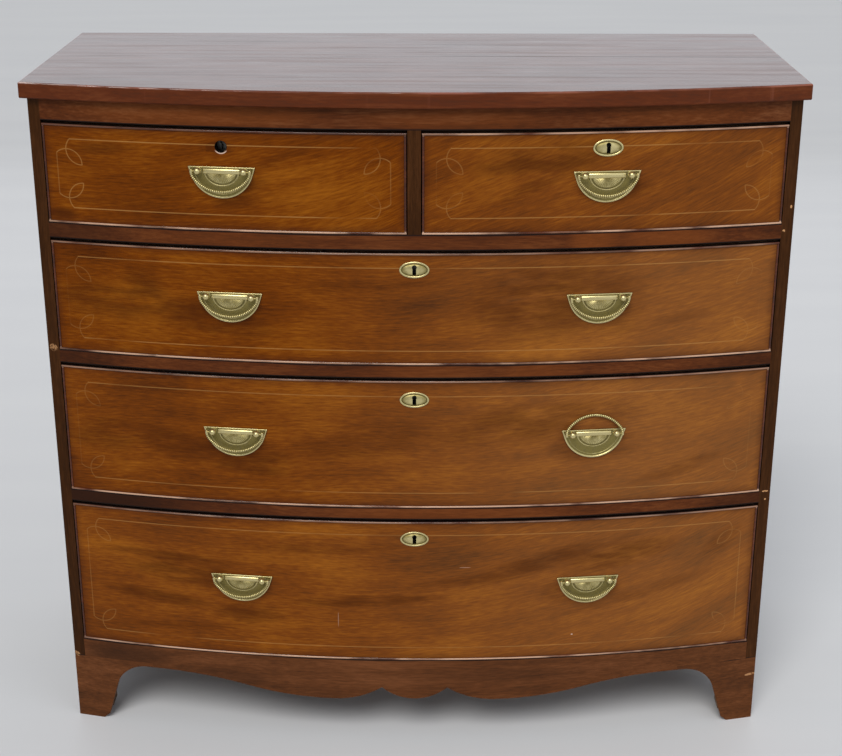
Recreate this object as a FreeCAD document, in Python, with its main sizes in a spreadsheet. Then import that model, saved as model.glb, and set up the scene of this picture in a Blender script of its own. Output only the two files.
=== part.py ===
"""Bow front chest of drawers: two half width drawers over three full width ones.

The chest stands on the floor at z = 0 with its middle at x = 0 and its bowed front towards -Y.
Every piece is drawn with y = 0 at the front corners of the case, and the whole is then set back
so that the middle of its depth is at the origin. Lengths are in millimetres.
"""
import FreeCAD, Part
import math
import os
import Sketcher

SIZES = {
    # case
    "case_width": 1050.0,
    "side_depth": 405.0,
    "bow_radius": 2121.0,
    "side_thickness": 16.5,
    "back_thickness": 9.0,
    "back_rebate": 8.0,
    "back_board_gap": 0.6,
    "partition_thickness": 18.0,
    "rail_reach": 35.0,
    "tenon_length": 7.0,
    "tenon_setback": 6.0,
    "tenon_width": 22.0,
    "tenon_shoulder": 5.0,
    "bottom_board_thickness": 18.0,
    # top board
    "top_thickness": 22.0,
    "top_side_overhang": 9.0,
    "top_front_overhang": 10.0,
    "top_back_overhang": 10.0,
    "top_edge_round": 2.0,
    # heights from the floor up
    "base_height": 107.0,
    "bottom_rail_height": 31.5,
    "lower_opening": 232.5,
    "lower_rail_height": 19.0,
    "middle_opening": 199.5,
    "middle_rail_height": 20.0,
    "upper_opening": 165.5,
    "upper_rail_height": 22.5,
    "top_opening": 142.5,
    "frieze_height": 30.0,
    # feet and apron
    "base_thickness": 20.0,
    "foot_sole": 40.0,
    "foot_toe_lift": 9.0,
    "foot_ankle": 50.0,
    "foot_knee": 67.0,
    "foot_knee_height": 66.0,
    "foot_wing": 115.0,
    "foot_reach": 125.0,
    "arch_height": 100.5,
    "arch_end": 385.0,
    "lobe_height": 69.0,
    "lobe_place": 121.0,
    "cusp_height": 90.5,
    "cusp_place": 49.0,
    "centre_lobe_height": 71.5,
    "rear_foot_thickness": 16.0,
    "corner_block": 30.0,
    "corner_block_lift": 5.0,
    "glue_block_length": 45.0,
    "glue_block_side": 18.0,
    "glue_block_spacing": 160.0,
    # runners and stops
    "runner_width": 30.0,
    "centre_runner_width": 80.0,
    "guide_height": 18.0,
    "stop_length": 45.0,
    "stop_width": 16.0,
    "stop_height": 5.0,
    "stop_place": 0.30,
    # drawers
    "drawer_side_gap": 1.5,
    "drawer_top_gap": 3.5,
    "drawer_run_gap": 0.3,
    "front_thickness": 22.0,
    "bead_thickness": 3.0,
    "bead_depth": 6.0,
    "bead_stand": 1.6,
    "bead_round": 1.1,
    "bead_bed": 0.1,
    "drawer_side_thickness": 10.0,
    "drawer_side_drop": 6.0,
    "drawer_back_thickness": 10.0,
    "drawer_back_gap": 22.0,
    "bottom_lift": 8.0,
    "bottom_thickness": 6.0,
    "bottom_groove": 5.0,
    "bottom_ease": 0.2,
    "tail_length": 12.0,
    "tail_pitch": 46.0,
    "tail_share": 0.30,
    "tail_flare": 2.0,
    # handles
    "handle_spread": 510.0,
    "handle_rise": 13.0,
    "top_right_handle_rise": 9.0,
    "post_spacing": 63.5,
    "plate_width": 92.0,
    "plate_top": 5.0,
    "plate_drop": 38.0,
    "plate_curve_radius": 44.0,
    "plate_thickness": 1.2,
    "plate_rim_width": 3.0,
    "plate_rim_height": 1.0,
    "plate_bed": 0.2,
    "bar_length": 49.0,
    "bar_radius": 3.3,
    "bar_drop": 2.0,
    "fan_width": 48.0,
    "fan_drop": 21.0,
    "fan_stand": 2.4,
    "post_ball_radius": 4.75,
    "post_ball_stand": 8.5,
    "post_neck_radius": 2.4,
    "post_collar_radius": 3.3,
    "post_collar_height": 1.4,
    "post_shank_radius": 2.5,
    "post_hole_radius": 2.7,
    "nut_side": 9.0,
    "nut_thickness": 3.0,
    "nut_bed": 0.4,
    "bail_radius": 2.0,
    "bail_drop": 28.0,
    "bail_ball_gap": 0.6,
    "bail_shoulder_radius": 17.0,
    "bail_ear": 2.5,
    "bail_pin_radius": 1.3,
    "bail_pin_clearance": 0.1,
    "bail_pin_reach": 8.5,
    "raised_bail_turn": 193.0,
    # locks and escutcheons
    "top_key_drop": 26.0,
    "upper_key_drop": 27.0,
    "middle_key_drop": 32.0,
    "lower_key_drop": 31.0,
    "keyhole_radius": 8.0,
    "lock_width": 60.0,
    "lock_depth": 9.0,
    "lock_tail": 16.0,
    "lock_ease": 0.3,
    "key_barrel_radius": 3.3,
    "key_bit_width": 3.6,
    "key_bit_drop": 10.0,
    "bolt_width": 24.0,
    "bolt_thickness": 4.0,
    "bolt_height": 14.0,
    "bolt_travel": 7.0,
    "bolt_ease": 0.2,
    "bolt_sink": 0.3,
    "mortise_ease_along": 1.5,
    "mortise_ease_across": 3.0,
    "escutcheon_width": 41.0,
    "escutcheon_height": 24.0,
    "escutcheon_rim": 1.2,
    "escutcheon_dome": 2.4,
    "escutcheon_rim_width": 2.2,
}

DOCUMENT = FreeCAD.newDocument("bow_front_chest")
SHEET = DOCUMENT.addObject("Spreadsheet::Sheet", "Sizes")
for row, (name, number) in enumerate(SIZES.items(), 1):
    SHEET.set(f"A{row}", name)
    SHEET.set(f"B{row}", str(number))
    SHEET.setAlias(f"B{row}", name)
DOCUMENT.recompute()


class Size:
    """A length that carries both its value and the expression that gives it from the sheet."""

    def __init__(self, text, value):
        self.text = text
        self.value = float(value)

    @staticmethod
    def of(other):
        return other if isinstance(other, Size) else Size(repr(other), other)

    def join(self, sign, other, value):
        return Size(f"({self.text} {sign} {other.text})", value)

    def __add__(self, other):
        other = Size.of(other)
        return self.join("+", other, self.value + other.value)

    def __radd__(self, other):
        return Size.of(other) + self

    def __sub__(self, other):
        other = Size.of(other)
        return self.join("-", other, self.value - other.value)

    def __rsub__(self, other):
        return Size.of(other) - self

    def __mul__(self, other):
        other = Size.of(other)
        return self.join("*", other, self.value * other.value)

    def __rmul__(self, other):
        return Size.of(other) * self

    def __truediv__(self, other):
        other = Size.of(other)
        return self.join("/", other, self.value / other.value)

    def __neg__(self):
        return Size.of(-1) * self


class Sheet:
    """Reads a named size of the sheet, as in S.case_width."""

    def __getattr__(self, name):
        return Size(f"Sizes.{name}", SIZES[name])


S = Sheet()
ZERO = Size("0", 0.0)


def root(size):
    return Size(f"sqrt({size.text})", math.sqrt(size.value))


def arc_sine(ratio):
    """The angle, in degrees, whose sine is the ratio."""
    return Size(f"asin({ratio.text})", math.degrees(math.asin(ratio.value)))


# ---------------------------------------------------------------- shared places

HALF_WIDTH = S.case_width / 2
INNER = HALF_WIDTH - S.side_thickness
BOW_CENTRE = root(S.bow_radius * S.bow_radius - HALF_WIDTH * HALF_WIDTH)
BOW_RISE = S.bow_radius - BOW_CENTRE
CASE_DEPTH = S.top_front_overhang + BOW_RISE + S.side_depth + S.top_back_overhang
SET_BACK = S.top_front_overhang + BOW_RISE - CASE_DEPTH / 2
BACK_FACE = S.side_depth - S.back_thickness
HALF_PARTITION = S.partition_thickness / 2

Z_LOWER = S.base_height + S.bottom_rail_height
Z_LOWER_RAIL = Z_LOWER + S.lower_opening
Z_MIDDLE = Z_LOWER_RAIL + S.lower_rail_height
Z_MIDDLE_RAIL = Z_MIDDLE + S.middle_opening
Z_UPPER = Z_MIDDLE_RAIL + S.middle_rail_height
Z_UPPER_RAIL = Z_UPPER + S.upper_opening
Z_TOP = Z_UPPER_RAIL + S.upper_rail_height
Z_FRIEZE = Z_TOP + S.top_opening
Z_CASE_TOP = Z_FRIEZE + S.frieze_height


def bow(x, inset=ZERO):
    """How far back the bowed surface lies at x, for a surface `inset` behind the front."""
    radius = S.bow_radius - inset
    return BOW_CENTRE - root(radius * radius - x * x)


def bow_turn(x):
    """The angle by which the front has turned at x."""
    return arc_sine(x / S.bow_radius)


# ---------------------------------------------------------------- drawing tools


class Arc:
    """An edge that is an arc, with the way from its chord towards its centre."""

    def __init__(self, radius, towards):
        self.radius = radius
        self.towards = towards


def bowed(inset=ZERO):
    return Arc(S.bow_radius - inset, (0, 1))


def new_body(label):
    body = DOCUMENT.addObject("PartDesign::Body", label)
    body.Label = label
    return body


def plane_of(body, role):
    """One of the body's own origin planes."""
    return next(item for item in body.Origin.OriginFeatures if item.Role == role)


def bind(thing, place, size):
    thing.setExpression(place, Size.of(size).text)


def set_place(thing, x=ZERO, y=ZERO, z=ZERO, turn=None):
    """Put a piece at x, y, z, turned about the upright."""
    for axis, size in zip("xyz", (x, y, z)):
        bind(thing, f"Placement.Base.{axis}", size)
    if turn is not None:
        bind(thing, "Placement.Rotation.Angle", turn)


def new_sketch(body, plane, offset=(ZERO, ZERO, ZERO), turn=None):
    """A sketch on one of the body's own planes, moved by offset in the sketch's own axes."""
    sketch = body.newObject("Sketcher::SketchObject", f"{body.Name}_sketch")
    sketch.AttachmentSupport = [(plane_of(body, plane), "")]
    sketch.MapMode = "FlatFace"
    for axis, size in zip("xyz", offset):
        bind(sketch, f"AttachmentOffset.Base.{axis}", size)
    if turn is not None:
        bind(sketch, "AttachmentOffset.Rotation.Angle", turn)
    return sketch


def edge_between(start, end, arc):
    """The line or arc that joins two points."""
    first = FreeCAD.Vector(start[0].value, start[1].value, 0)
    last = FreeCAD.Vector(end[0].value, end[1].value, 0)
    if arc is None:
        return Part.LineSegment(first, last)
    chord = last - first
    normal = FreeCAD.Vector(-chord.y, chord.x, 0) / chord.Length
    if normal.dot(FreeCAD.Vector(*arc.towards, 0)) < 0:
        normal = -normal
    radius = arc.radius.value
    rise = radius - math.sqrt(radius**2 - (chord.Length / 2) ** 2)
    return Part.Arc(first, (first + last) / 2 - normal * rise, last)


def outline(sketch, points, arcs=None, closed=True):
    """Draw edges through the points, each point and radius driven by its expression."""
    points = [(Size.of(x), Size.of(y)) for x, y in points]
    arcs = arcs or {}
    edges = []
    edge_count = len(points) if closed else len(points) - 1
    for index in range(edge_count):
        start = points[index]
        end = points[(index + 1) % len(points)]
        curve = edge_between(start, end, arcs.get(index))
        number = sketch.addGeometry(curve, False)
        corner = FreeCAD.Vector(start[0].value, start[1].value, 0)
        starts_first = (sketch.getPoint(number, 1) - corner).Length < 1e-6
        edges.append((number, 1 if starts_first else 2, 2 if starts_first else 1))
    for index, (number, start_end, far_end) in enumerate(edges):
        pin_point(sketch, number, start_end, points[index])
        if closed or index + 1 < len(edges):
            following = edges[(index + 1) % len(edges)]
            join = Sketcher.Constraint("Coincident", number, far_end, following[0], following[1])
            sketch.addConstraint(join)
        else:
            pin_point(sketch, number, far_end, points[-1])
        if index in arcs:
            drive(sketch, Sketcher.Constraint("Radius", number, arcs[index].radius.value),
                  arcs[index].radius)


def drive(sketch, constraint, size):
    """Add a constraint whose value follows the size."""
    number = sketch.addConstraint(constraint)
    bind(sketch, f"Constraints[{number}]", size)


def pin_point(sketch, edge, end, point):
    drive(sketch, Sketcher.Constraint("DistanceX", -1, 1, edge, end, point[0].value), point[0])
    drive(sketch, Sketcher.Constraint("DistanceY", -1, 1, edge, end, point[1].value), point[1])


def circle(sketch, x, y, radius):
    """Draw a circle whose centre and radius follow their sizes."""
    x, y = Size.of(x), Size.of(y)
    centre = FreeCAD.Vector(x.value, y.value, 0)
    number = sketch.addGeometry(Part.Circle(centre, FreeCAD.Vector(0, 0, 1), radius.value), False)
    pin_point(sketch, number, 3, (x, y))
    drive(sketch, Sketcher.Constraint("Radius", number, radius.value), radius)


def rectangle(sketch, left, right, low, high):
    outline(sketch, [(left, low), (right, low), (right, high), (left, high)])


def pad(body, sketch, length, both_ways=False, reverse=False):
    """Raise the sketch by length, along its normal or half each way."""
    feature = body.newObject("PartDesign::Pad", f"{body.Name}_pad")
    feature.Profile = sketch
    feature.SideType = "Symmetric" if both_ways else "One side"
    feature.Reversed = reverse
    bind(feature, "Length", length)
    return feature


def pocket(body, sketch, depth):
    """Cut the sketch into the body to depth on each side of the sketch."""
    feature = body.newObject("PartDesign::Pocket", f"{body.Name}_pocket")
    feature.Profile = sketch
    feature.SideType = "Symmetric"
    bind(feature, "Length", 2 * depth)
    return feature


def box(label, left, right, front, back, low, high):
    """A straight board between six planes."""
    board = DOCUMENT.addObject("Part::Box", label)
    bind(board, "Length", right - left)
    bind(board, "Width", back - front)
    bind(board, "Height", high - low)
    set_place(board, left, front, low)
    return board


def cylinder(label, radius, length, x, y, z, axis):
    """A rod that runs along the axis from the point x, y, z."""
    rod = DOCUMENT.addObject("Part::Cylinder", label)
    bind(rod, "Radius", radius)
    bind(rod, "Height", length)
    rod.Placement = FreeCAD.Placement(
        FreeCAD.Vector(), FreeCAD.Rotation(FreeCAD.Vector(0, 0, 1), FreeCAD.Vector(*axis))
    )
    for letter, size in zip("xyz", (x, y, z)):
        bind(rod, f"Placement.Base.{letter}", size)
    return rod


def fuse(label, pieces):
    whole = DOCUMENT.addObject("Part::MultiFuse", label)
    whole.Shapes = pieces
    return whole


def cut(label, base, tool):
    rest = DOCUMENT.addObject("Part::Cut", label)
    rest.Base = base
    rest.Tool = tool
    return rest


def group(label, pieces):
    """Separate pieces that are kept together under one name."""
    bundle = DOCUMENT.addObject("Part::Compound", label)
    bundle.Label = label
    bundle.Links = pieces
    set_place(bundle, y=SET_BACK)
    return bundle


def bowed_band(body, left, right, low, high, inset_front, inset_back):
    """A pad between two bowed surfaces and two upright ends."""
    sketch = new_sketch(body, "XY_Plane", (ZERO, ZERO, low))
    outline(
        sketch,
        [
            (left, bow(left, inset_front)),
            (right, bow(right, inset_front)),
            (right, bow(right, inset_back)),
            (left, bow(left, inset_back)),
        ],
        {0: bowed(inset_front), 2: bowed(inset_back)},
    )
    return pad(body, sketch, high - low)


def bowed_board(body, left, right, back, low, high):
    """A pad with a bowed front and a straight back."""
    sketch = new_sketch(body, "XY_Plane", (ZERO, ZERO, low))
    outline(sketch, [(left, bow(left)), (right, bow(right)), (right, back), (left, back)],
            {0: bowed()})
    return pad(body, sketch, high - low)


def round_edges(body, radius, chosen):
    """Round the edges of the body's last feature that the chosen test picks."""
    DOCUMENT.recompute()
    base = body.Tip
    names = [f"Edge{n}" for n, edge in enumerate(base.Shape.Edges, 1) if chosen(edge)]
    fillet = body.newObject("PartDesign::Fillet", f"{body.Name}_round")
    fillet.Base = (base, names)
    bind(fillet, "Radius", radius)
    return fillet


def lies_on_bow(edge, inset):
    """Whether both ends of an edge lie on the bowed surface at that inset."""
    centre = FreeCAD.Vector(0, BOW_CENTRE.value, 0)
    reach = S.bow_radius.value - inset.value
    return all(
        abs(FreeCAD.Vector(corner.X, corner.Y, 0).distanceToPoint(centre) - reach) < 1e-3
        for corner in edge.Vertexes
    )


# ---------------------------------------------------------------- case


def top_board():
    """The top: bowed in front like the case below it, and overhanging it all round."""
    body = new_body("top_board")
    half = HALF_WIDTH + S.top_side_overhang
    outside = -S.top_front_overhang
    front = bow(half, outside)
    back = S.side_depth + S.top_back_overhang
    sketch = new_sketch(body, "XY_Plane", (ZERO, ZERO, Z_CASE_TOP))
    outline(sketch, [(-half, front), (half, front), (half, back), (-half, back)],
            {0: bowed(outside)})
    pad(body, sketch, S.top_thickness)
    round_edges(body, S.top_edge_round, lambda edge: is_top_rim(edge, back))
    set_place(body, y=SET_BACK)
    return body


def is_top_rim(edge, back):
    """Whether an edge is one of the level edges of the top board's front and ends."""
    heights = [corner.Z for corner in edge.Vertexes]
    at_back = all(abs(corner.Y - back.value) < 1e-3 for corner in edge.Vertexes)
    return abs(heights[0] - heights[-1]) < 1e-3 and not at_back


def side_board(label, hand):
    """A side of the case, rebated for the back and mortised for the rails and the bottom."""
    body = new_body(label)
    rebate = INNER + S.back_rebate
    sketch = new_sketch(body, "XY_Plane", (ZERO, ZERO, S.base_height))
    points = [
        (INNER, bow(INNER)),
        (HALF_WIDTH, bow(HALF_WIDTH)),
        (HALF_WIDTH, S.side_depth),
        (rebate, S.side_depth),
        (rebate, BACK_FACE),
        (INNER, BACK_FACE),
    ]
    outline(sketch, [(hand * x, y) for x, y in points], {0: bowed()})
    pad(body, sketch, Z_CASE_TOP - S.base_height)
    mortises = new_sketch(body, "YZ_Plane", (ZERO, ZERO, hand * INNER))
    for low, height in RAIL_PLACES:
        rectangle(mortises, S.tenon_setback, S.tenon_setback + S.tenon_width,
                  low + S.tenon_shoulder, low + height - S.tenon_shoulder)
    rectangle(mortises, S.rail_reach, BACK_FACE, Z_LOWER - S.bottom_board_thickness, Z_LOWER)
    pocket(body, mortises, S.tenon_length)
    set_place(body, y=SET_BACK)
    return body


RAIL_PLACES = [
    (Z_CASE_TOP - S.frieze_height, S.frieze_height),
    (Z_UPPER_RAIL, S.upper_rail_height),
    (Z_MIDDLE_RAIL, S.middle_rail_height),
    (Z_LOWER_RAIL, S.lower_rail_height),
    (S.base_height, S.bottom_rail_height),
]


def rail(label, place, bolt_places=()):
    """A front rail: bowed in front, straight behind, tenoned into the sides.

    Each bolt place is the x of a lock whose bolt rises into a mortise under the rail.
    """
    low, height = place
    body = new_body(label)
    bowed_board(body, -INNER, INNER, S.rail_reach, low, low + height)
    tenon = new_sketch(body, "XY_Plane", (ZERO, ZERO, low + S.tenon_shoulder))
    reach = INNER + S.tenon_length
    rectangle(tenon, -reach, reach, S.tenon_setback, S.tenon_setback + S.tenon_width)
    pad(body, tenon, height - 2 * S.tenon_shoulder)
    for x in bolt_places:
        mortise = new_sketch(body, "XY_Plane", (x, bow(x), low), bow_turn(x))
        half = S.bolt_width / 2 + S.mortise_ease_along
        middle = BOLT_SETBACK + S.bolt_thickness / 2
        half_depth = S.bolt_thickness / 2 + S.mortise_ease_across
        rectangle(mortise, -half, half, middle - half_depth, middle + half_depth)
        pocket(body, mortise, S.bolt_travel)
    set_place(body, y=SET_BACK)
    return body


def drawer_partition():
    body = new_body("drawer_partition")
    bowed_board(body, -HALF_PARTITION, HALF_PARTITION, S.rail_reach, Z_TOP, Z_FRIEZE)
    set_place(body, y=SET_BACK)
    return body


def drawer_runners():
    """Runners at each side under the drawers, kickers over the top ones, and their guide."""
    pieces = []
    levels = [
        ("top", Z_UPPER_RAIL, Z_TOP),
        ("upper", Z_MIDDLE_RAIL, Z_UPPER),
        ("middle", Z_LOWER_RAIL, Z_MIDDLE),
        ("kicker", Z_FRIEZE, Z_CASE_TOP),
    ]
    for level, low, high in levels:
        for side, left in (("left", -INNER), ("right", INNER - S.runner_width)):
            pieces.append(box(f"{level}_runner_{side}", left, left + S.runner_width,
                              S.rail_reach, BACK_FACE, low, high))
        if level in ("top", "kicker"):
            half = S.centre_runner_width / 2
            pieces.append(box(f"{level}_runner_centre", -half, half,
                              S.rail_reach, BACK_FACE, low, high))
    pieces.append(box("centre_guide", -HALF_PARTITION, HALF_PARTITION,
                      S.rail_reach, BACK_FACE, Z_TOP, Z_TOP + S.guide_height))
    return group("drawer_runners", pieces)


def bottom_board():
    reach = INNER + S.tenon_length
    board = box("bottom_board", -reach, reach, S.rail_reach, BACK_FACE,
                Z_LOWER - S.bottom_board_thickness, Z_LOWER)
    board.Label = "bottom_board"
    bind(board, "Placement.Base.y", S.rail_reach + SET_BACK)
    return board


def back_boards(count=5):
    """Upright back boards side by side in the rebates of the sides."""
    reach = INNER + S.back_rebate
    pitch = 2 * reach / count
    boards = []
    for index in range(count):
        left = -reach + pitch * index
        boards.append(box(f"back_board_{index + 1}", left, left + pitch - S.back_board_gap,
                          BACK_FACE, S.side_depth, S.base_height, Z_CASE_TOP))
    return group("back_boards", boards)


# ---------------------------------------------------------------- apron and feet

KNEE_RISE = S.arch_height - S.foot_knee_height
KNEE_RUN = S.foot_wing - S.foot_knee
KNEE_ARC = (KNEE_RUN * KNEE_RUN + KNEE_RISE * KNEE_RISE) / (2 * KNEE_RISE)
BELOW_FLOOR = Size.of(-10)


def foot_edge(corner, hand):
    """The inner edge of a bracket foot, from under the floor up to the arch.

    The corner is the place of the foot's outer edge, and hand says which way the foot widens.
    """
    widths_and_heights = [
        (S.foot_sole, BELOW_FLOOR),
        (S.foot_sole, ZERO),
        (S.foot_ankle, S.foot_toe_lift),
        (S.foot_knee, S.foot_knee_height),
        (S.foot_wing, S.arch_height),
    ]
    return [(corner + hand * width, height) for width, height in widths_and_heights]


def apron():
    """The shaped skirt under the bottom rail: two long cyma lobes and a short one between."""
    body = new_body("apron")
    half = HALF_WIDTH - S.foot_reach
    waste = Size.of(6)
    low = S.lobe_height - waste
    bowed_band(body, -half, half, low, S.base_height, ZERO, S.base_thickness)
    fall = S.arch_height - S.lobe_height
    run = S.arch_end - S.lobe_place
    cyma = (run * run + fall * fall) / (4 * fall)
    lobe_run = S.lobe_place - S.cusp_place
    lobe_rise = S.cusp_height - S.lobe_height
    lobe = (lobe_run * lobe_run + lobe_rise * lobe_rise) / (2 * lobe_rise)
    centre_rise = S.cusp_height - S.centre_lobe_height
    centre = (S.cusp_place * S.cusp_place + centre_rise * centre_rise) / (2 * centre_rise)
    right_half = [
        (S.cusp_place, S.cusp_height),
        (S.lobe_place, S.lobe_height),
        ((S.arch_end + S.lobe_place) / 2, (S.arch_height + S.lobe_height) / 2),
        (S.arch_end, S.arch_height),
        (half, S.arch_height),
        (half, low - waste),
    ]
    left_half = [(-x, z) for x, z in reversed(right_half)]
    up, down = (0, 1), (0, -1)
    arcs = {
        2: Arc(cyma, down),
        3: Arc(cyma, up),
        4: Arc(lobe, up),
        5: Arc(centre, up),
        6: Arc(lobe, up),
        7: Arc(cyma, up),
        8: Arc(cyma, down),
    }
    shape = new_sketch(body, "XZ_Plane")
    outline(shape, left_half + right_half, arcs)
    pocket(body, shape, S.side_depth)
    set_place(body, y=SET_BACK)
    return body


def front_foot(label, hand):
    """A front bracket: bowed like the apron and mitred to the base at the side."""
    body = new_body(label)
    inside = HALF_WIDTH - S.base_thickness
    reach = HALF_WIDTH - S.foot_reach
    points = [
        (HALF_WIDTH, bow(HALF_WIDTH)),
        (reach, bow(reach)),
        (reach, bow(reach, S.base_thickness)),
        (inside, bow(inside, S.base_thickness)),
    ]
    sketch = new_sketch(body, "XY_Plane")
    outline(sketch, [(hand * x, y) for x, y in points], {0: bowed(), 2: bowed(S.base_thickness)})
    pad(body, sketch, S.base_height)
    edge = foot_edge(hand * HALF_WIDTH, -hand)
    past_reach = hand * (reach - 5)
    shape = new_sketch(body, "XZ_Plane")
    outline(shape, edge + [(past_reach, S.arch_height), (past_reach, BELOW_FLOOR)],
            {3: Arc(KNEE_ARC, (0, -1))})
    pocket(body, shape, S.side_depth)
    return body


def base_side(label, hand):
    """The base under a side of the case, with the side faces of both its feet."""
    body = new_body(label)
    inside = HALF_WIDTH - S.base_thickness
    points = [
        (HALF_WIDTH, bow(HALF_WIDTH)),
        (HALF_WIDTH, S.side_depth),
        (inside, S.side_depth),
        (inside, bow(inside, S.base_thickness)),
    ]
    sketch = new_sketch(body, "XY_Plane")
    outline(sketch, [(hand * x, y) for x, y in points])
    pad(body, sketch, S.base_height)
    front_edge = foot_edge(ZERO, 1)
    rear_edge = foot_edge(S.side_depth, -1)
    shape = new_sketch(body, "YZ_Plane", (ZERO, ZERO, hand * HALF_WIDTH))
    outline(shape, front_edge + list(reversed(rear_edge)),
            {3: Arc(KNEE_ARC, (0, -1)), 5: Arc(KNEE_ARC, (0, -1))})
    pocket(body, shape, 2 * S.base_thickness)
    return body


def rear_foot(label, hand):
    """A plain rear bracket with a sloping inner edge."""
    body = new_body(label)
    outer = HALF_WIDTH - S.base_thickness
    reach = HALF_WIDTH - S.foot_reach
    points = [
        (outer, ZERO),
        (outer, S.base_height),
        (reach, S.base_height),
        (reach, S.arch_height),
        (HALF_WIDTH - S.foot_knee, S.foot_knee_height),
        (HALF_WIDTH - S.foot_ankle, ZERO),
    ]
    sketch = new_sketch(body, "XZ_Plane", (ZERO, ZERO, -S.side_depth))
    outline(sketch, [(hand * x, z) for x, z in points])
    pad(body, sketch, S.rear_foot_thickness)
    return body


def glue_blocks():
    """Corner blocks behind the four feet and small blocks behind the apron."""
    blocks = []
    inside = HALF_WIDTH - S.base_thickness
    front = bow(inside, S.base_thickness)
    rear = S.side_depth - S.rear_foot_thickness - S.corner_block
    for side, left in (("left", -inside), ("right", inside - S.corner_block)):
        for end, y in (("front", front), ("rear", rear)):
            blocks.append(box(f"{end}_{side}_block", left, left + S.corner_block,
                              y, y + S.corner_block, S.corner_block_lift, S.base_height))
    for number in (-1.5, -0.5, 0.5, 1.5):
        x = number * S.glue_block_spacing
        blocks.append(tangent_block(f"apron_block_{number}", x, S.base_thickness + 0.3,
                                    S.glue_block_length, S.glue_block_side,
                                    S.base_height - S.glue_block_side, S.base_height))
    return blocks


def tangent_block(label, x, inset, length, width, low, high):
    """A small block that stands square to the bowed front at x, inset behind it."""
    block = box(label, -length / 2, length / 2, ZERO, width, low, high)
    turn = bow_turn(x)
    along = S.bow_radius - inset
    corner_y = BOW_CENTRE - root(along * along - length * length / 4)
    ratio = x / S.bow_radius
    cosine = root(1 - ratio * ratio)
    start_y = corner_y - BOW_CENTRE
    set_place(block, ZERO, ZERO, low)
    bind(block, "Placement.Base.x", -length / 2 * cosine - start_y * ratio)
    bind(block, "Placement.Base.y", BOW_CENTRE - length / 2 * ratio + start_y * cosine)
    bind(block, "Placement.Rotation.Angle", turn)
    return block


def drawer_stops():
    """Two stops on the rail behind each drawer front."""
    stops = []
    for drawer in DRAWERS:
        width = drawer.right - drawer.left
        for number, share in enumerate((S.stop_place, 1 - S.stop_place), 1):
            x = drawer.left + width * share
            stops.append(tangent_block(f"{drawer.name}_stop_{number}", x,
                                       S.front_thickness + S.drawer_run_gap, S.stop_length,
                                       S.stop_width, drawer.low, drawer.low + S.stop_height))
    return stops


# ---------------------------------------------------------------- drawers

BOLT_SETBACK = S.front_thickness - (S.lock_depth + S.bolt_thickness) / 2
KEY_RISE = (S.key_bit_drop - S.key_barrel_radius) / 2


class Drawer:
    """The opening that a drawer fills, and where its lock and handles stand."""

    def __init__(self, name, left, right, low, height, key_drop, handles, escutcheon=True,
                 handle_rise=S.handle_rise):
        self.name = name
        self.left = left
        self.right = right
        self.low = low
        self.height = height
        self.key_drop = key_drop
        self.handles = handles
        self.escutcheon = escutcheon
        self.x0 = left + S.drawer_side_gap
        self.x1 = right - S.drawer_side_gap
        self.z0 = low + S.drawer_run_gap
        self.z1 = low + height - S.drawer_top_gap
        self.key_x = (left + right) / 2
        self.key_z = low + height - key_drop
        self.handle_z = low + height / 2 + handle_rise
        self.back = BACK_FACE - S.drawer_back_gap
        self.side_top = self.z1 - S.drawer_side_drop
        side_height = self.side_top - self.z0
        self.tail_count = max(2, round(side_height.value / S.tail_pitch.value))
        self.tail_step = side_height / self.tail_count

    def land(self, hand):
        """How far back the front's flat ends lie, where the sides join it."""
        edge = self.x0 + S.drawer_side_thickness if hand < 0 else self.x1 - S.drawer_side_thickness
        return bow(edge, S.front_thickness)

    def tails(self):
        """The middle height of each dovetail, with half its width at its root and its tip."""
        narrow = self.tail_step * S.tail_share
        for index in range(self.tail_count):
            yield self.z0 + self.tail_step * (index + 0.5), narrow, narrow + S.tail_flare


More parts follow.
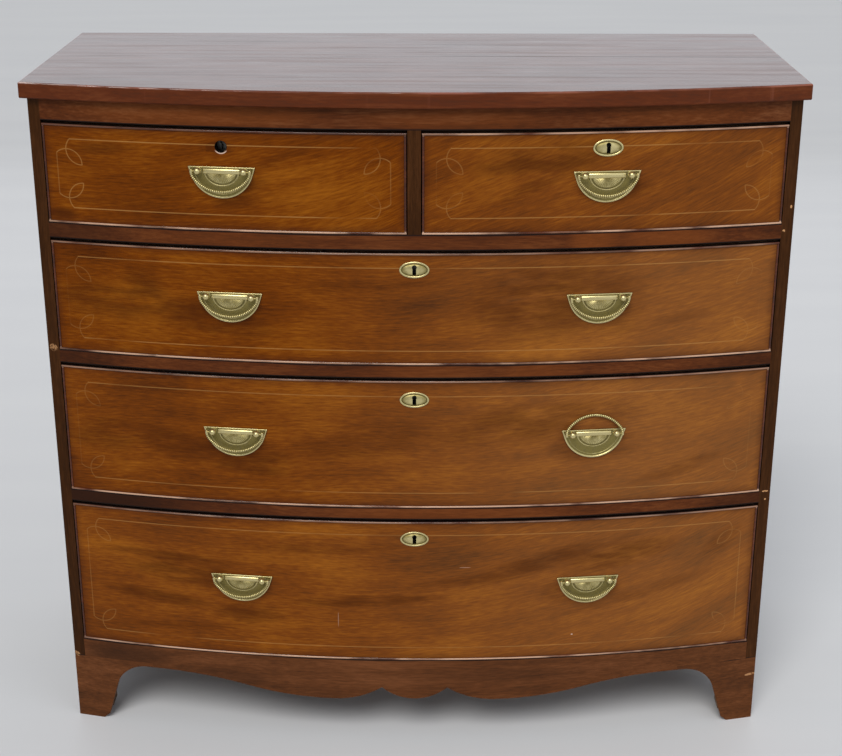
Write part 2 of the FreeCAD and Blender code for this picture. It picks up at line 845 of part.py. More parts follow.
def drawer_front(drawer):
    """A bowed front, rebated for its beads, socketed for its sides and cut for its lock."""
    name = drawer.name
    body = new_body(f"{name}_front")
    x0, x1, z0, z1 = drawer.x0, drawer.x1, drawer.z0, drawer.z1
    side = S.drawer_side_thickness
    left_land, right_land = drawer.land(-1), drawer.land(1)
    whole = new_sketch(body, "XY_Plane", (ZERO, ZERO, z0))
    outline(
        whole,
        [
            (x0, bow(x0, S.bead_depth)),
            (x1, bow(x1, S.bead_depth)),
            (x1, right_land),
            (x1 - side, right_land),
            (x0 + side, left_land),
            (x0, left_land),
        ],
        {0: bowed(S.bead_depth), 3: bowed(S.front_thickness)},
    )
    pad(body, whole, z1 - z0)
    bead = S.bead_thickness
    bowed_band(body, x0 + bead, x1 - bead, z0 + bead, z1 - bead, ZERO, S.bead_depth + 2)

    for hand, end in ((-1, x0), (1, x1)):
        land = drawer.land(hand)
        sockets = new_sketch(body, "YZ_Plane", (ZERO, ZERO, end))
        for middle, narrow, wide in drawer.tails():
            outline(sockets, [
                (land + 5, middle - narrow),
                (land, middle - narrow),
                (land - S.tail_length, middle - wide),
                (land - S.tail_length, middle + wide),
                (land, middle + narrow),
                (land + 5, middle + narrow),
            ])
        pocket(body, sockets, side)

    groove_low = z0 + S.bottom_lift
    groove = new_sketch(body, "XY_Plane", (ZERO, ZERO, groove_low + S.bottom_thickness / 2))
    left, right = x0 + S.bottom_groove, x1 - S.bottom_groove
    bottom_inset = S.front_thickness - S.bottom_groove
    behind = S.front_thickness + 6
    outline(
        groove,
        [
            (left, bow(left, bottom_inset)),
            (right, bow(right, bottom_inset)),
            (right, bow(right, behind)),
            (left, bow(left, behind)),
        ],
        {0: bowed(bottom_inset), 2: bowed(behind)},
    )
    pocket(body, groove, S.bottom_thickness / 2)

    key_x, key_y, turn = drawer.key_x, bow(drawer.key_x), bow_turn(drawer.key_x)
    recess = new_sketch(body, "XY_Plane", (key_x, key_y, z1), turn)
    half = S.lock_width / 2 + S.lock_ease
    rectangle(recess, -half, half, S.front_thickness - S.lock_depth - S.lock_ease,
              S.front_thickness + 10)
    pocket(body, recess, drawer.key_drop - S.drawer_top_gap + S.lock_tail + S.lock_ease)
    bore_front(body, key_x, drawer.key_z, [(ZERO, S.keyhole_radius)])
    for x in drawer.handles:
        half_spacing = S.post_spacing / 2
        bore_front(body, x, drawer.handle_z,
                   [(-half_spacing, S.post_hole_radius), (half_spacing, S.post_hole_radius)])
    return body


def bore_front(body, x, z, holes):
    """Round holes square through the bowed front at x, each at its own offset and radius."""
    datum = body.newObject("PartDesign::Plane", f"{body.Name}_plane")
    datum.AttachmentSupport = [(plane_of(body, "XZ_Plane"), "")]
    datum.MapMode = "FlatFace"
    upwards = FreeCAD.Rotation(FreeCAD.Vector(0, 1, 0), 1)
    datum.AttachmentOffset = FreeCAD.Placement(FreeCAD.Vector(), upwards)
    for axis, size in zip("xyz", (x, z, -bow(x))):
        bind(datum, f"AttachmentOffset.Base.{axis}", size)
    bind(datum, "AttachmentOffset.Rotation.Angle", bow_turn(x))
    sketch = body.newObject("Sketcher::SketchObject", f"{body.Name}_bore")
    sketch.AttachmentSupport = [(datum, "")]
    sketch.MapMode = "FlatFace"
    for offset, radius in holes:
        circle(sketch, offset, ZERO, radius)
    pocket(body, sketch, 2 * S.front_thickness)


def bead_strip(name, left, right, low, high):
    """One strip of cock bead, let into the front's rebate and rounded where it stands proud."""
    body = new_body(name)
    bowed_band(body, left, right, low, high, -S.bead_stand, S.bead_depth - S.bead_bed)
    upright = high.value - low.value > right.value - left.value
    round_edges(body, S.bead_round, lambda edge: is_bead_nose(edge, upright))
    return body


def is_bead_nose(edge, upright):
    """Whether an edge runs along the proud face of a bead."""
    if not lies_on_bow(edge, -S.bead_stand):
        return False
    ends = [corner.Z for corner in edge.Vertexes]
    rises = abs(ends[0] - ends[-1]) > 1e-3
    return rises == upright


def cock_beads(drawer):
    """The four bead strips round a drawer front."""
    name = drawer.name
    x0, x1, z0, z1 = drawer.x0, drawer.x1, drawer.z0, drawer.z1
    bead = S.bead_thickness
    strips = [
        bead_strip(f"{name}_bead_bottom", x0, x1, z0, z0 + bead),
        bead_strip(f"{name}_bead_top", x0, x1, z1 - bead, z1),
        bead_strip(f"{name}_bead_left", x0, x0 + bead, z0 + bead, z1 - bead),
        bead_strip(f"{name}_bead_right", x1 - bead, x1, z0 + bead, z1 - bead),
    ]
    return group(f"{name}_cock_beads", strips)


def drawer_side(drawer, label, hand):
    """A drawer side with tails at both ends and a groove for the bottom."""
    body = new_body(label)
    thickness = S.drawer_side_thickness
    outer = drawer.x0 if hand < 0 else drawer.x1
    inner = outer - hand * thickness
    land = drawer.land(hand)
    rear_root = drawer.back - S.drawer_back_thickness
    front_points, rear_points = [], []
    for middle, narrow, wide in drawer.tails():
        front_points += [
            (land, middle - narrow),
            (land - S.tail_length, middle - wide),
            (land - S.tail_length, middle + wide),
            (land, middle + narrow),
        ]
        rear_points += [
            (rear_root, middle - narrow),
            (drawer.back, middle - wide),
            (drawer.back, middle + wide),
            (rear_root, middle + narrow),
        ]
    points = [(land, drawer.z0)] + front_points + [(land, drawer.side_top)]
    points += [(rear_root, drawer.side_top)] + rear_points[::-1] + [(rear_root, drawer.z0)]
    sketch = new_sketch(body, "YZ_Plane", (ZERO, ZERO, (outer + inner) / 2))
    outline(sketch, points)
    pad(body, sketch, thickness, both_ways=True)
    groove = new_sketch(body, "YZ_Plane", (ZERO, ZERO, inner))
    low = drawer.z0 + S.bottom_lift
    rectangle(groove, land - 2 * S.tail_length, drawer.back + 5, low, low + S.bottom_thickness)
    pocket(body, groove, S.bottom_groove)
    return body


def drawer_back(drawer):
    """The drawer back, standing on the bottom, with pins between the tails of the sides."""
    body = new_body(f"{drawer.name}_back")
    front = drawer.back - S.drawer_back_thickness
    low = drawer.z0 + S.bottom_lift + S.bottom_thickness
    sketch = new_sketch(body, "XY_Plane", (ZERO, ZERO, low))
    rectangle(sketch, drawer.x0, drawer.x1, front, drawer.back)
    pad(body, sketch, drawer.side_top - low)
    for end in (drawer.x0, drawer.x1):
        sockets = new_sketch(body, "YZ_Plane", (ZERO, ZERO, end))
        for middle, narrow, wide in drawer.tails():
            outline(sockets, [
                (front, middle - narrow),
                (drawer.back, middle - wide),
                (drawer.back, middle + wide),
                (front, middle + narrow),
            ])
        pocket(body, sockets, S.drawer_side_thickness)
    return body


def drawer_box(drawer):
    """The two sides and the back."""
    sides = [
        drawer_side(drawer, f"{drawer.name}_left_side", -1),
        drawer_side(drawer, f"{drawer.name}_right_side", 1),
    ]
    return group(f"{drawer.name}_box", sides + [drawer_back(drawer)])


def drawer_bottom(drawer):
    """A thin bottom that slides into the grooves from behind, under the drawer back."""
    body = new_body(f"{drawer.name}_bottom")
    margin = S.drawer_side_thickness - S.bottom_groove + S.bottom_ease
    left, right = drawer.x0 + margin, drawer.x1 - margin
    inset = S.front_thickness - S.bottom_groove + S.bottom_ease
    sketch = new_sketch(body, "XY_Plane",
                        (ZERO, ZERO, drawer.z0 + S.bottom_lift + S.bottom_ease / 2))
    outline(
        sketch,
        [
            (left, bow(left, inset)),
            (right, bow(right, inset)),
            (right, drawer.back),
            (left, drawer.back),
        ],
        {0: bowed(inset)},
    )
    pad(body, sketch, S.bottom_thickness - S.bottom_ease)
    set_place(body, y=SET_BACK)
    return body


# ---------------------------------------------------------------- locks


def lock(drawer):
    """A drawer lock: a flat case, open at the top for its bolt and pierced for its key."""
    body = new_body(f"{drawer.name}_lock")
    front = S.front_thickness - S.lock_depth
    height = drawer.key_drop - S.drawer_top_gap + S.lock_tail
    case = new_sketch(body, "XY_Plane")
    rectangle(case, -S.lock_width / 2, S.lock_width / 2, front, S.front_thickness)
    pad(body, case, height, reverse=True)
    slot = new_sketch(body, "XY_Plane")
    half = S.bolt_width / 2 + S.bolt_ease
    rectangle(slot, -half, half, BOLT_SETBACK - S.bolt_ease,
              BOLT_SETBACK + S.bolt_thickness + S.bolt_ease)
    pocket(body, slot, S.bolt_height + 2 * S.bolt_sink)
    key = new_sketch(body, "XZ_Plane", (ZERO, ZERO, -front))
    keyhole(key, S.drawer_top_gap - drawer.key_drop + KEY_RISE)
    pocket(body, key, S.lock_depth / 2)
    set_on_front(body, drawer.key_x, drawer.z1)
    return body


def keyhole(sketch, z):
    """The outline of a keyhole: a round for the barrel over a slot for the bit."""
    half = S.key_bit_width / 2
    radius = S.key_barrel_radius
    meet = z - root(radius * radius - half * half)
    outline(
        sketch,
        [
            (half, meet),
            (radius, z),
            (ZERO, z + radius),
            (-radius, z),
            (-half, meet),
            (-half, z - S.key_bit_drop),
            (half, z - S.key_bit_drop),
        ],
        {
            0: Arc(radius, (-1, 0)),
            1: Arc(radius, (-1, -1)),
            2: Arc(radius, (1, -1)),
            3: Arc(radius, (1, 0)),
        },
    )


def set_on_front(thing, x, z, stand=ZERO):
    """Put a piece square on the bowed front at x and z, standing off it a little."""
    ratio = x / S.bow_radius
    radius = S.bow_radius + stand
    across = radius * ratio
    away = BOW_CENTRE - radius * root(1 - ratio * ratio)
    set_place(thing, across, away + SET_BACK, z, bow_turn(x))


def lock_bolt(drawer):
    """The bolt, drawn down level with the top of its case."""
    body = new_body(f"{drawer.name}_lock_bolt")
    half = S.bolt_width / 2
    sketch = new_sketch(body, "XY_Plane", (ZERO, ZERO, -S.bolt_sink))
    rectangle(sketch, -half, half, BOLT_SETBACK, BOLT_SETBACK + S.bolt_thickness)
    pad(body, sketch, S.bolt_height, reverse=True)
    set_on_front(body, drawer.key_x, drawer.z1)
    return body


def oval(label, width, height, thickness, front):
    """An oval plate, drawn in the upright plane and raised towards the front."""
    edge = DOCUMENT.addObject("Part::Ellipse", f"{label}_edge")
    bind(edge, "MajorRadius", width / 2)
    bind(edge, "MinorRadius", height / 2)
    edge.Placement.Rotation = FreeCAD.Rotation(FreeCAD.Vector(1, 0, 0), 90)
    bind(edge, "Placement.Base.y", front)
    plate = DOCUMENT.addObject("Part::Extrusion", label)
    plate.Base = edge
    plate.DirMode = "Custom"
    plate.Dir = FreeCAD.Vector(0, -1, 0)
    plate.Solid = True
    bind(plate, "LengthFwd", thickness)
    return plate


def escutcheon(drawer):
    """An oval keyhole plate with a raised rim and a low dome."""
    name = f"{drawer.name}_escutcheon"
    base = oval(f"{name}_base", S.escutcheon_width, S.escutcheon_height, S.escutcheon_rim, ZERO)
    dome = DOCUMENT.addObject("Part::Ellipsoid", f"{name}_dome")
    bind(dome, "Radius1", S.escutcheon_height / 2 - S.escutcheon_rim_width)
    bind(dome, "Radius2", S.escutcheon_width / 2 - S.escutcheon_rim_width)
    bind(dome, "Radius3", S.escutcheon_dome)
    dome.Placement.Base = FreeCAD.Vector(0, 0, 0)
    behind = box(f"{name}_behind", -S.escutcheon_width, S.escutcheon_width,
                 ZERO, 2 * S.escutcheon_dome, -S.escutcheon_height, S.escutcheon_height)
    cutter = new_body(f"{name}_keyhole")
    shape = new_sketch(cutter, "XZ_Plane")
    keyhole(shape, KEY_RISE)
    pad(cutter, shape, 6 * S.escutcheon_dome, both_ways=True)
    domed = cut(f"{name}_domed", fuse(f"{name}_blank", [base, dome]), behind)
    plate = cut(name, domed, cutter)
    return set_in_group(plate, drawer.key_x, drawer.key_z, S.plate_bed)


def set_in_group(thing, x, z, stand=ZERO):
    """As set_on_front, for a piece whose group is set back as a whole."""
    set_on_front(thing, x, z, stand)
    ratio = x / S.bow_radius
    radius = S.bow_radius + stand
    bind(thing, "Placement.Base.y", BOW_CENTRE - radius * root(1 - ratio * ratio))
    return thing


# ---------------------------------------------------------------- handles

PLATE_FACE = S.plate_thickness + S.plate_bed
PIVOT = -S.post_ball_stand


def arch_points(half_width, drop, shoulder):
    """Where the arcs of a drooping three centred arch meet, with the radius of its crown."""
    across = half_width - shoulder
    crown = (across * across + drop * drop - shoulder * shoulder) / (2 * (drop - shoulder))
    ratio = shoulder / (crown - shoulder)
    meet_x = across + across * ratio
    meet_z = -(crown - drop) * ratio
    return meet_x, meet_z, crown


def plate_outline(sketch, inset, top):
    """A handle plate's outline: a straight top and slanting ends that run into one deep curve."""
    radius = S.plate_curve_radius
    centre = radius - S.plate_drop
    half = S.plate_width / 2
    rise = S.plate_top - centre
    reach = half * half + rise * rise
    slant = root(reach - radius * radius)
    lean_x = (radius * half + slant * rise) / reach
    lean_z = (radius * rise - slant * half) / reach
    inner = radius - inset
    corner = (inner - lean_z * (top - centre)) / lean_x
    meet_x = inner * lean_x
    meet_z = centre + inner * lean_z
    outline(
        sketch,
        [(corner, top), (meet_x, meet_z), (-meet_x, meet_z), (-corner, top)],
        {1: Arc(inner, (0, 1))},
    )


def handle_plate(name):
    """A stamped D plate: raised rim, level bar between the posts and a low fan below it."""
    body = new_body(f"{name}_plate")
    half = S.plate_width / 2
    rim = S.plate_rim_width
    blank = new_sketch(body, "XZ_Plane")
    plate_outline(blank, ZERO, S.plate_top)
    pad(body, blank, S.plate_thickness + S.plate_rim_height)
    field = new_sketch(body, "XZ_Plane", (ZERO, ZERO, S.plate_thickness + S.plate_rim_height))
    plate_outline(field, rim, S.plate_top - rim / 2)
    pocket(body, field, S.plate_rim_height)
    bar = body.newObject("PartDesign::AdditiveCylinder", f"{name}_bar")
    bind(bar, "Radius", S.bar_radius)
    bind(bar, "Height", S.bar_length)
    bar.AttachmentSupport = [(plane_of(body, "YZ_Plane"), "")]
    bar.MapMode = "FlatFace"
    bind(bar, "AttachmentOffset.Base.x", -S.plate_thickness)
    bind(bar, "AttachmentOffset.Base.y", -S.bar_drop)
    bind(bar, "AttachmentOffset.Base.z", -S.bar_length / 2)
    fan = body.newObject("PartDesign::AdditiveEllipsoid", f"{name}_fan")
    fan.AttachmentSupport = [(plane_of(body, "XY_Plane"), "")]
    fan.MapMode = "FlatFace"
    fan.Angle2 = 0
    bind(fan, "AttachmentOffset.Base.y", -S.plate_thickness)
    bind(fan, "AttachmentOffset.Base.z", -S.bar_drop)
    bind(fan, "Radius1", S.fan_drop)
    bind(fan, "Radius2", S.fan_width / 2)
    bind(fan, "Radius3", S.fan_stand)
    behind = new_sketch(body, "XZ_Plane", (ZERO, ZERO, -2 * S.bar_radius))
    rectangle(behind, -half, half, -S.plate_drop, S.plate_top)
    trim = body.newObject("PartDesign::Pocket", f"{name}_trim")
    trim.Profile = behind
    trim.SideType = "One side"
    trim.Reversed = True
    bind(trim, "Length", 2 * S.bar_radius)
    holes = new_sketch(body, "XZ_Plane")
    for hand in (-1, 1):
        circle(holes, hand * S.post_spacing / 2, ZERO, S.post_hole_radius)
    pocket(body, holes, 2 * S.plate_thickness)
    return body


def post(name):
    """A turned post: shank through the front, collar on the plate, ball bored for the bail."""
    body = new_body(name)
    ball = S.post_ball_radius
    neck = S.post_neck_radius
    neck_y = PIVOT + root(ball * ball - neck * neck)
    collar_back = -PLATE_FACE
    collar_front = collar_back - S.post_collar_height
    shank_end = S.front_thickness + S.nut_bed + S.nut_thickness + 1.5
    profile = new_sketch(body, "XY_Plane")
    outline(
        profile,
        [
            (ZERO, shank_end),
            (S.post_shank_radius, shank_end),
            (S.post_shank_radius, collar_back),
            (S.post_collar_radius, collar_back),
            (S.post_collar_radius, collar_front),
            (neck, collar_front),
            (neck, neck_y),
            (ball, PIVOT),
            (ZERO, PIVOT - ball),
        ],
        {6: Arc(ball, (-1, 0)), 7: Arc(ball, (-1, 1))},
    )
    turned = body.newObject("PartDesign::Revolution", f"{name}_turned")
    turned.Profile = profile
    turned.ReferenceAxis = (profile, ["V_Axis"])
    turned.Angle = 360
    bore = new_sketch(body, "YZ_Plane")
    circle(bore, PIVOT, ZERO, S.bail_pin_radius + S.bail_pin_clearance)
    pocket(body, bore, 2 * ball)
    return body


def post_nut(name):
    """A square nut on the inner end of a post."""
    body = new_body(name)
    half = S.nut_side / 2
    sketch = new_sketch(body, "XZ_Plane", (ZERO, ZERO, -(S.front_thickness + S.nut_bed)))
    rectangle(sketch, -half, half, -half, half)
    circle(sketch, ZERO, ZERO, S.post_shank_radius + 0.05)
    pad(body, sketch, S.nut_thickness, reverse=True)
    return body


def brasses(drawer):
    """The handle plates, posts and nuts of a drawer, and its escutcheon."""
    pieces = []
    for number, x in enumerate(drawer.handles, 1):
        name = f"{drawer.name}_handle_{number}"
        ratio = x / S.bow_radius
        cosine = root(1 - ratio * ratio)
        pieces.append(set_in_group(handle_plate(name), x, drawer.handle_z, S.plate_bed))
        for hand, side in ((-1, "left"), (1, "right")):
            for piece in (post(f"{name}_{side}_post"), post_nut(f"{name}_{side}_nut")):
                set_in_group(piece, x, drawer.handle_z)
                offset = hand * S.post_spacing / 2
                bind(piece, "Placement.Base.x", x + offset * cosine)
                bind(piece, "Placement.Base.y",
                     BOW_CENTRE - S.bow_radius * cosine + offset * ratio)
                pieces.append(piece)
    if drawer.escutcheon:
        pieces.append(escutcheon(drawer))
    return group(f"{drawer.name}_brasses", pieces)


def bail(label, x, z, raised=False):
    """A drooping bail whose inturned ends lie in the bored balls of its posts."""
    body = new_body(label)
    half = S.post_spacing / 2 + S.post_ball_radius + S.bail_ball_gap + S.bail_radius
    drop = S.bail_drop
    meet_x, meet_z, crown = arch_points(half, drop, S.bail_shoulder_radius)
    ear = S.bail_ear
    path = new_sketch(body, "XZ_Plane")
    outline(
        path,
        [
            (half, ear),
            (half, ZERO),
            (meet_x, meet_z),
            (-meet_x, meet_z),
            (-half, ZERO),
            (-half, ear),
        ],
        {
            1: Arc(S.bail_shoulder_radius, (-1, 0)),
            2: Arc(crown, (0, 1)),
            3: Arc(S.bail_shoulder_radius, (1, 0)),
        },
        closed=False,
    )
    section = new_sketch(body, "XY_Plane", (ZERO, ZERO, ear))
    circle(section, half, ZERO, S.bail_radius)
    rod = body.newObject("PartDesign::AdditivePipe", f"{label}_rod")
    rod.Profile = section
    rod.Spine = path
    for hand in (-1, 1):
        pin = body.newObject("PartDesign::AdditiveCylinder", f"{label}_pin")
        pin.AttachmentSupport = [(plane_of(body, "YZ_Plane"), "")]
        pin.MapMode = "FlatFace"
        bind(pin, "Radius", S.bail_pin_radius)
        bind(pin, "Height", S.bail_pin_reach)
        start = half - S.bail_pin_reach if hand > 0 else -half
        bind(pin, "AttachmentOffset.Base.z", start)
    set_on_front(body, x, z, S.post_ball_stand)
    if raised:
        turn = bow_turn(x)
        upright = FreeCAD.Rotation(FreeCAD.Vector(0, 0, 1), turn.value)
        lift = FreeCAD.Rotation(FreeCAD.Vector(1, 0, 0), -S.raised_bail_turn.value)
        base = body.Placement.Base
        body.setExpression("Placement.Rotation.Angle", None)
        body.Placement = FreeCAD.Placement(base, upright * lift)
    return body


# ---------------------------------------------------------------- the whole chest

HALF_SPREAD = S.handle_spread / 2
TOP_MIDDLE = (INNER + HALF_PARTITION) / 2
DRAWERS = [
    Drawer("top_left_drawer", -INNER, -HALF_PARTITION, Z_TOP, S.top_opening,
           S.top_key_drop, [-TOP_MIDDLE], escutcheon=False),
    Drawer("top_right_drawer", HALF_PARTITION, INNER, Z_TOP, S.top_opening,
           S.top_key_drop, [TOP_MIDDLE], handle_rise=S.top_right_handle_rise),
    Drawer("upper_drawer", -INNER, INNER, Z_UPPER, S.upper_opening,
           S.upper_key_drop, [-HALF_SPREAD, HALF_SPREAD]),
    Drawer("middle_drawer", -INNER, INNER, Z_MIDDLE, S.middle_opening,
           S.middle_key_drop, [-HALF_SPREAD, HALF_SPREAD]),
    Drawer("lower_drawer", -INNER, INNER, Z_LOWER, S.lower_opening,
           S.lower_key_drop, [-HALF_SPREAD, HALF_SPREAD]),
]


def build_case():
    frieze, upper, middle, lower, bottom = RAIL_PLACES
    return [
        top_board(),
        side_board("left_side", -1),
        side_board("right_side", 1),
        back_boards(),
        rail("frieze_rail", frieze, [-TOP_MIDDLE, TOP_MIDDLE]),
        rail("upper_rail", upper, [ZERO]),
        rail("middle_rail", middle, [ZERO]),
        rail("lower_rail", lower, [ZERO]),
        rail("bottom_rail", bottom),
        drawer_partition(),
        drawer_runners(),
        bottom_board(),
        apron(),
        group("front_feet", [front_foot("front_left_foot", -1), front_foot("front_right_foot", 1)]),
        group("base_sides", [base_side("left_base_side", -1), base_side("right_base_side", 1)]),
        group("rear_feet", [rear_foot("rear_left_foot", -1), rear_foot("rear_right_foot", 1)]),
        group("stops_and_glue_blocks", drawer_stops() + glue_blocks()),
    ]


def build_drawer(drawer):
    front = drawer_front(drawer)
    set_place(front, y=SET_BACK)
    pieces = [
        front,
        cock_beads(drawer),
        drawer_box(drawer),
        drawer_bottom(drawer),
        lock(drawer),
        lock_bolt(drawer),
        brasses(drawer),
    ]
    sides = ["left", "right"] if len(drawer.handles) == 2 else [""]
    for side, x in zip(sides, drawer.handles):
        label = f"{drawer.name}_{side}_bail" if side else f"{drawer.name}_bail"
        raised = drawer.name == "middle_drawer" and side == "right"
        pieces.append(bail(label, x, drawer.handle_z, raised))
    return pieces


def check(parts):
    """Stop unless every object of the document worked and every part is whole."""
    failed = [item.Name for item in DOCUMENT.Objects
              if "Invalid" in item.State or "Error" in item.State]
    if failed:
        raise RuntimeError(f"failed objects: {failed}")
    for part in parts:
        if part.Shape.isNull() or not part.Shape.isValid() or not part.Shape.Solids:
            raise RuntimeError(f"{part.Label} has no sound shape")


def main():
    parts = build_case()
    for drawer in DRAWERS:
        parts += build_drawer(drawer)
    DOCUMENT.recompute()
    check(parts)
    os.makedirs("parts", exist_ok=True)
    for part in parts:
        part.Shape.exportStep(f"parts/{part.Label}.step")
    print(f"{len(parts)} parts, {sum(len(part.Shape.Solids) for part in parts)} solids")


main()
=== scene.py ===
"""Dresses the bow front chest of drawers: timbers, string inlay, brasses, light and camera.

Everything is in metres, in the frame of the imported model: +X to the right of someone who faces
the chest, -Y out of its bowed front and +Z up from the floor.
"""
import logging
import math
from dataclasses import dataclass, field
from enum import Enum
from typing import Any, Callable, Dict, List, Optional, Sequence, Set, Tuple, Union

import bmesh
import bpy
from mathutils import Matrix, Vector


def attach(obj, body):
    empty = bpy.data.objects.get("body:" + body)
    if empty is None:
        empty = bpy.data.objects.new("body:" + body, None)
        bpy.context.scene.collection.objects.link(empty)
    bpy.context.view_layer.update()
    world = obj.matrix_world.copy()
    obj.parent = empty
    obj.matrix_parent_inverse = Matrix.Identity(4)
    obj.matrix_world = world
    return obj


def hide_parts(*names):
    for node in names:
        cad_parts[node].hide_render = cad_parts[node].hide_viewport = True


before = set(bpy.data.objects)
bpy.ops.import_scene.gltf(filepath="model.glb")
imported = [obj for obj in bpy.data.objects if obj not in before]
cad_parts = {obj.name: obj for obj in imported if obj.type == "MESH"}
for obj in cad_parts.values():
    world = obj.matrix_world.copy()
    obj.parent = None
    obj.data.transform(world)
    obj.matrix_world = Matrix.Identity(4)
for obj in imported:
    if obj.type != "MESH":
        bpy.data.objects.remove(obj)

LOG = logging.getLogger("chest")
Colour = Tuple[float, float, float]
Number = Union[float, "Reading"]
Spot = Tuple["Reading", "Reading", "Reading"]


# ---------------------------------------------------------------- shader sums


class Reading:
    """A number that varies over a surface, kept as a shader socket."""

    def __init__(self, recipe: "Recipe", socket: bpy.types.NodeSocket) -> None:
        """Keep the socket and the recipe that it belongs to.

        Args:
            recipe: The recipe whose nodes work the number out.
            socket: The output socket that carries it.
        """
        self.recipe = recipe
        self.socket = socket

    def __add__(self, other: Number) -> "Reading":
        """This and the other, summed."""
        return self.recipe.math("ADD", self, other)

    __radd__ = __add__

    def __sub__(self, other: Number) -> "Reading":
        """This less the other."""
        return self.recipe.math("SUBTRACT", self, other)

    def __rsub__(self, other: Number) -> "Reading":
        """The other less this."""
        return self.recipe.math("SUBTRACT", other, self)

    def __mul__(self, other: Number) -> "Reading":
        """This times the other."""
        return self.recipe.math("MULTIPLY", self, other)

    __rmul__ = __mul__

    def __truediv__(self, other: Number) -> "Reading":
        """This over the other."""
        return self.recipe.math("DIVIDE", self, other)

    def __abs__(self) -> "Reading":
        """This without its sign."""
        return self.recipe.math("ABSOLUTE", self)

    def least(self, other: Number) -> "Reading":
        """The smaller of this and the other."""
        return self.recipe.math("MINIMUM", self, other)

    def most(self, other: Number) -> "Reading":
        """The larger of this and the other."""
        return self.recipe.math("MAXIMUM", self, other)

    def root(self) -> "Reading":
        """The square root of this."""
        return self.recipe.math("SQRT", self)

    def span(self, other: "Reading") -> "Reading":
        """The straight distance across the corner that this and the other make."""
        return (self * self + other * other).root()

    def fade(self, start: float, end: float) -> "Reading":
        """A soft step.

        Args:
            start: Where the step is still nought.
            end: Where it has become one; below start for a falling step.

        Returns:
            A reading from nought to one.
        """
        settings = {"interpolation_type": "SMOOTHSTEP"}
        sockets = {"Value": self, "From Min": start, "From Max": end}
        node = self.recipe.node("ShaderNodeMapRange", settings, sockets)
        return Reading(self.recipe, node.outputs["Result"])

    def above(self, edge: float, soft: float) -> "Reading":
        """One above the edge, nought below it, blurred over soft each way."""
        return self.fade(edge - soft, edge + soft)

    def below(self, edge: float, soft: float) -> "Reading":
        """One below the edge, nought above it, blurred over soft each way."""
        return self.fade(edge + soft, edge - soft)


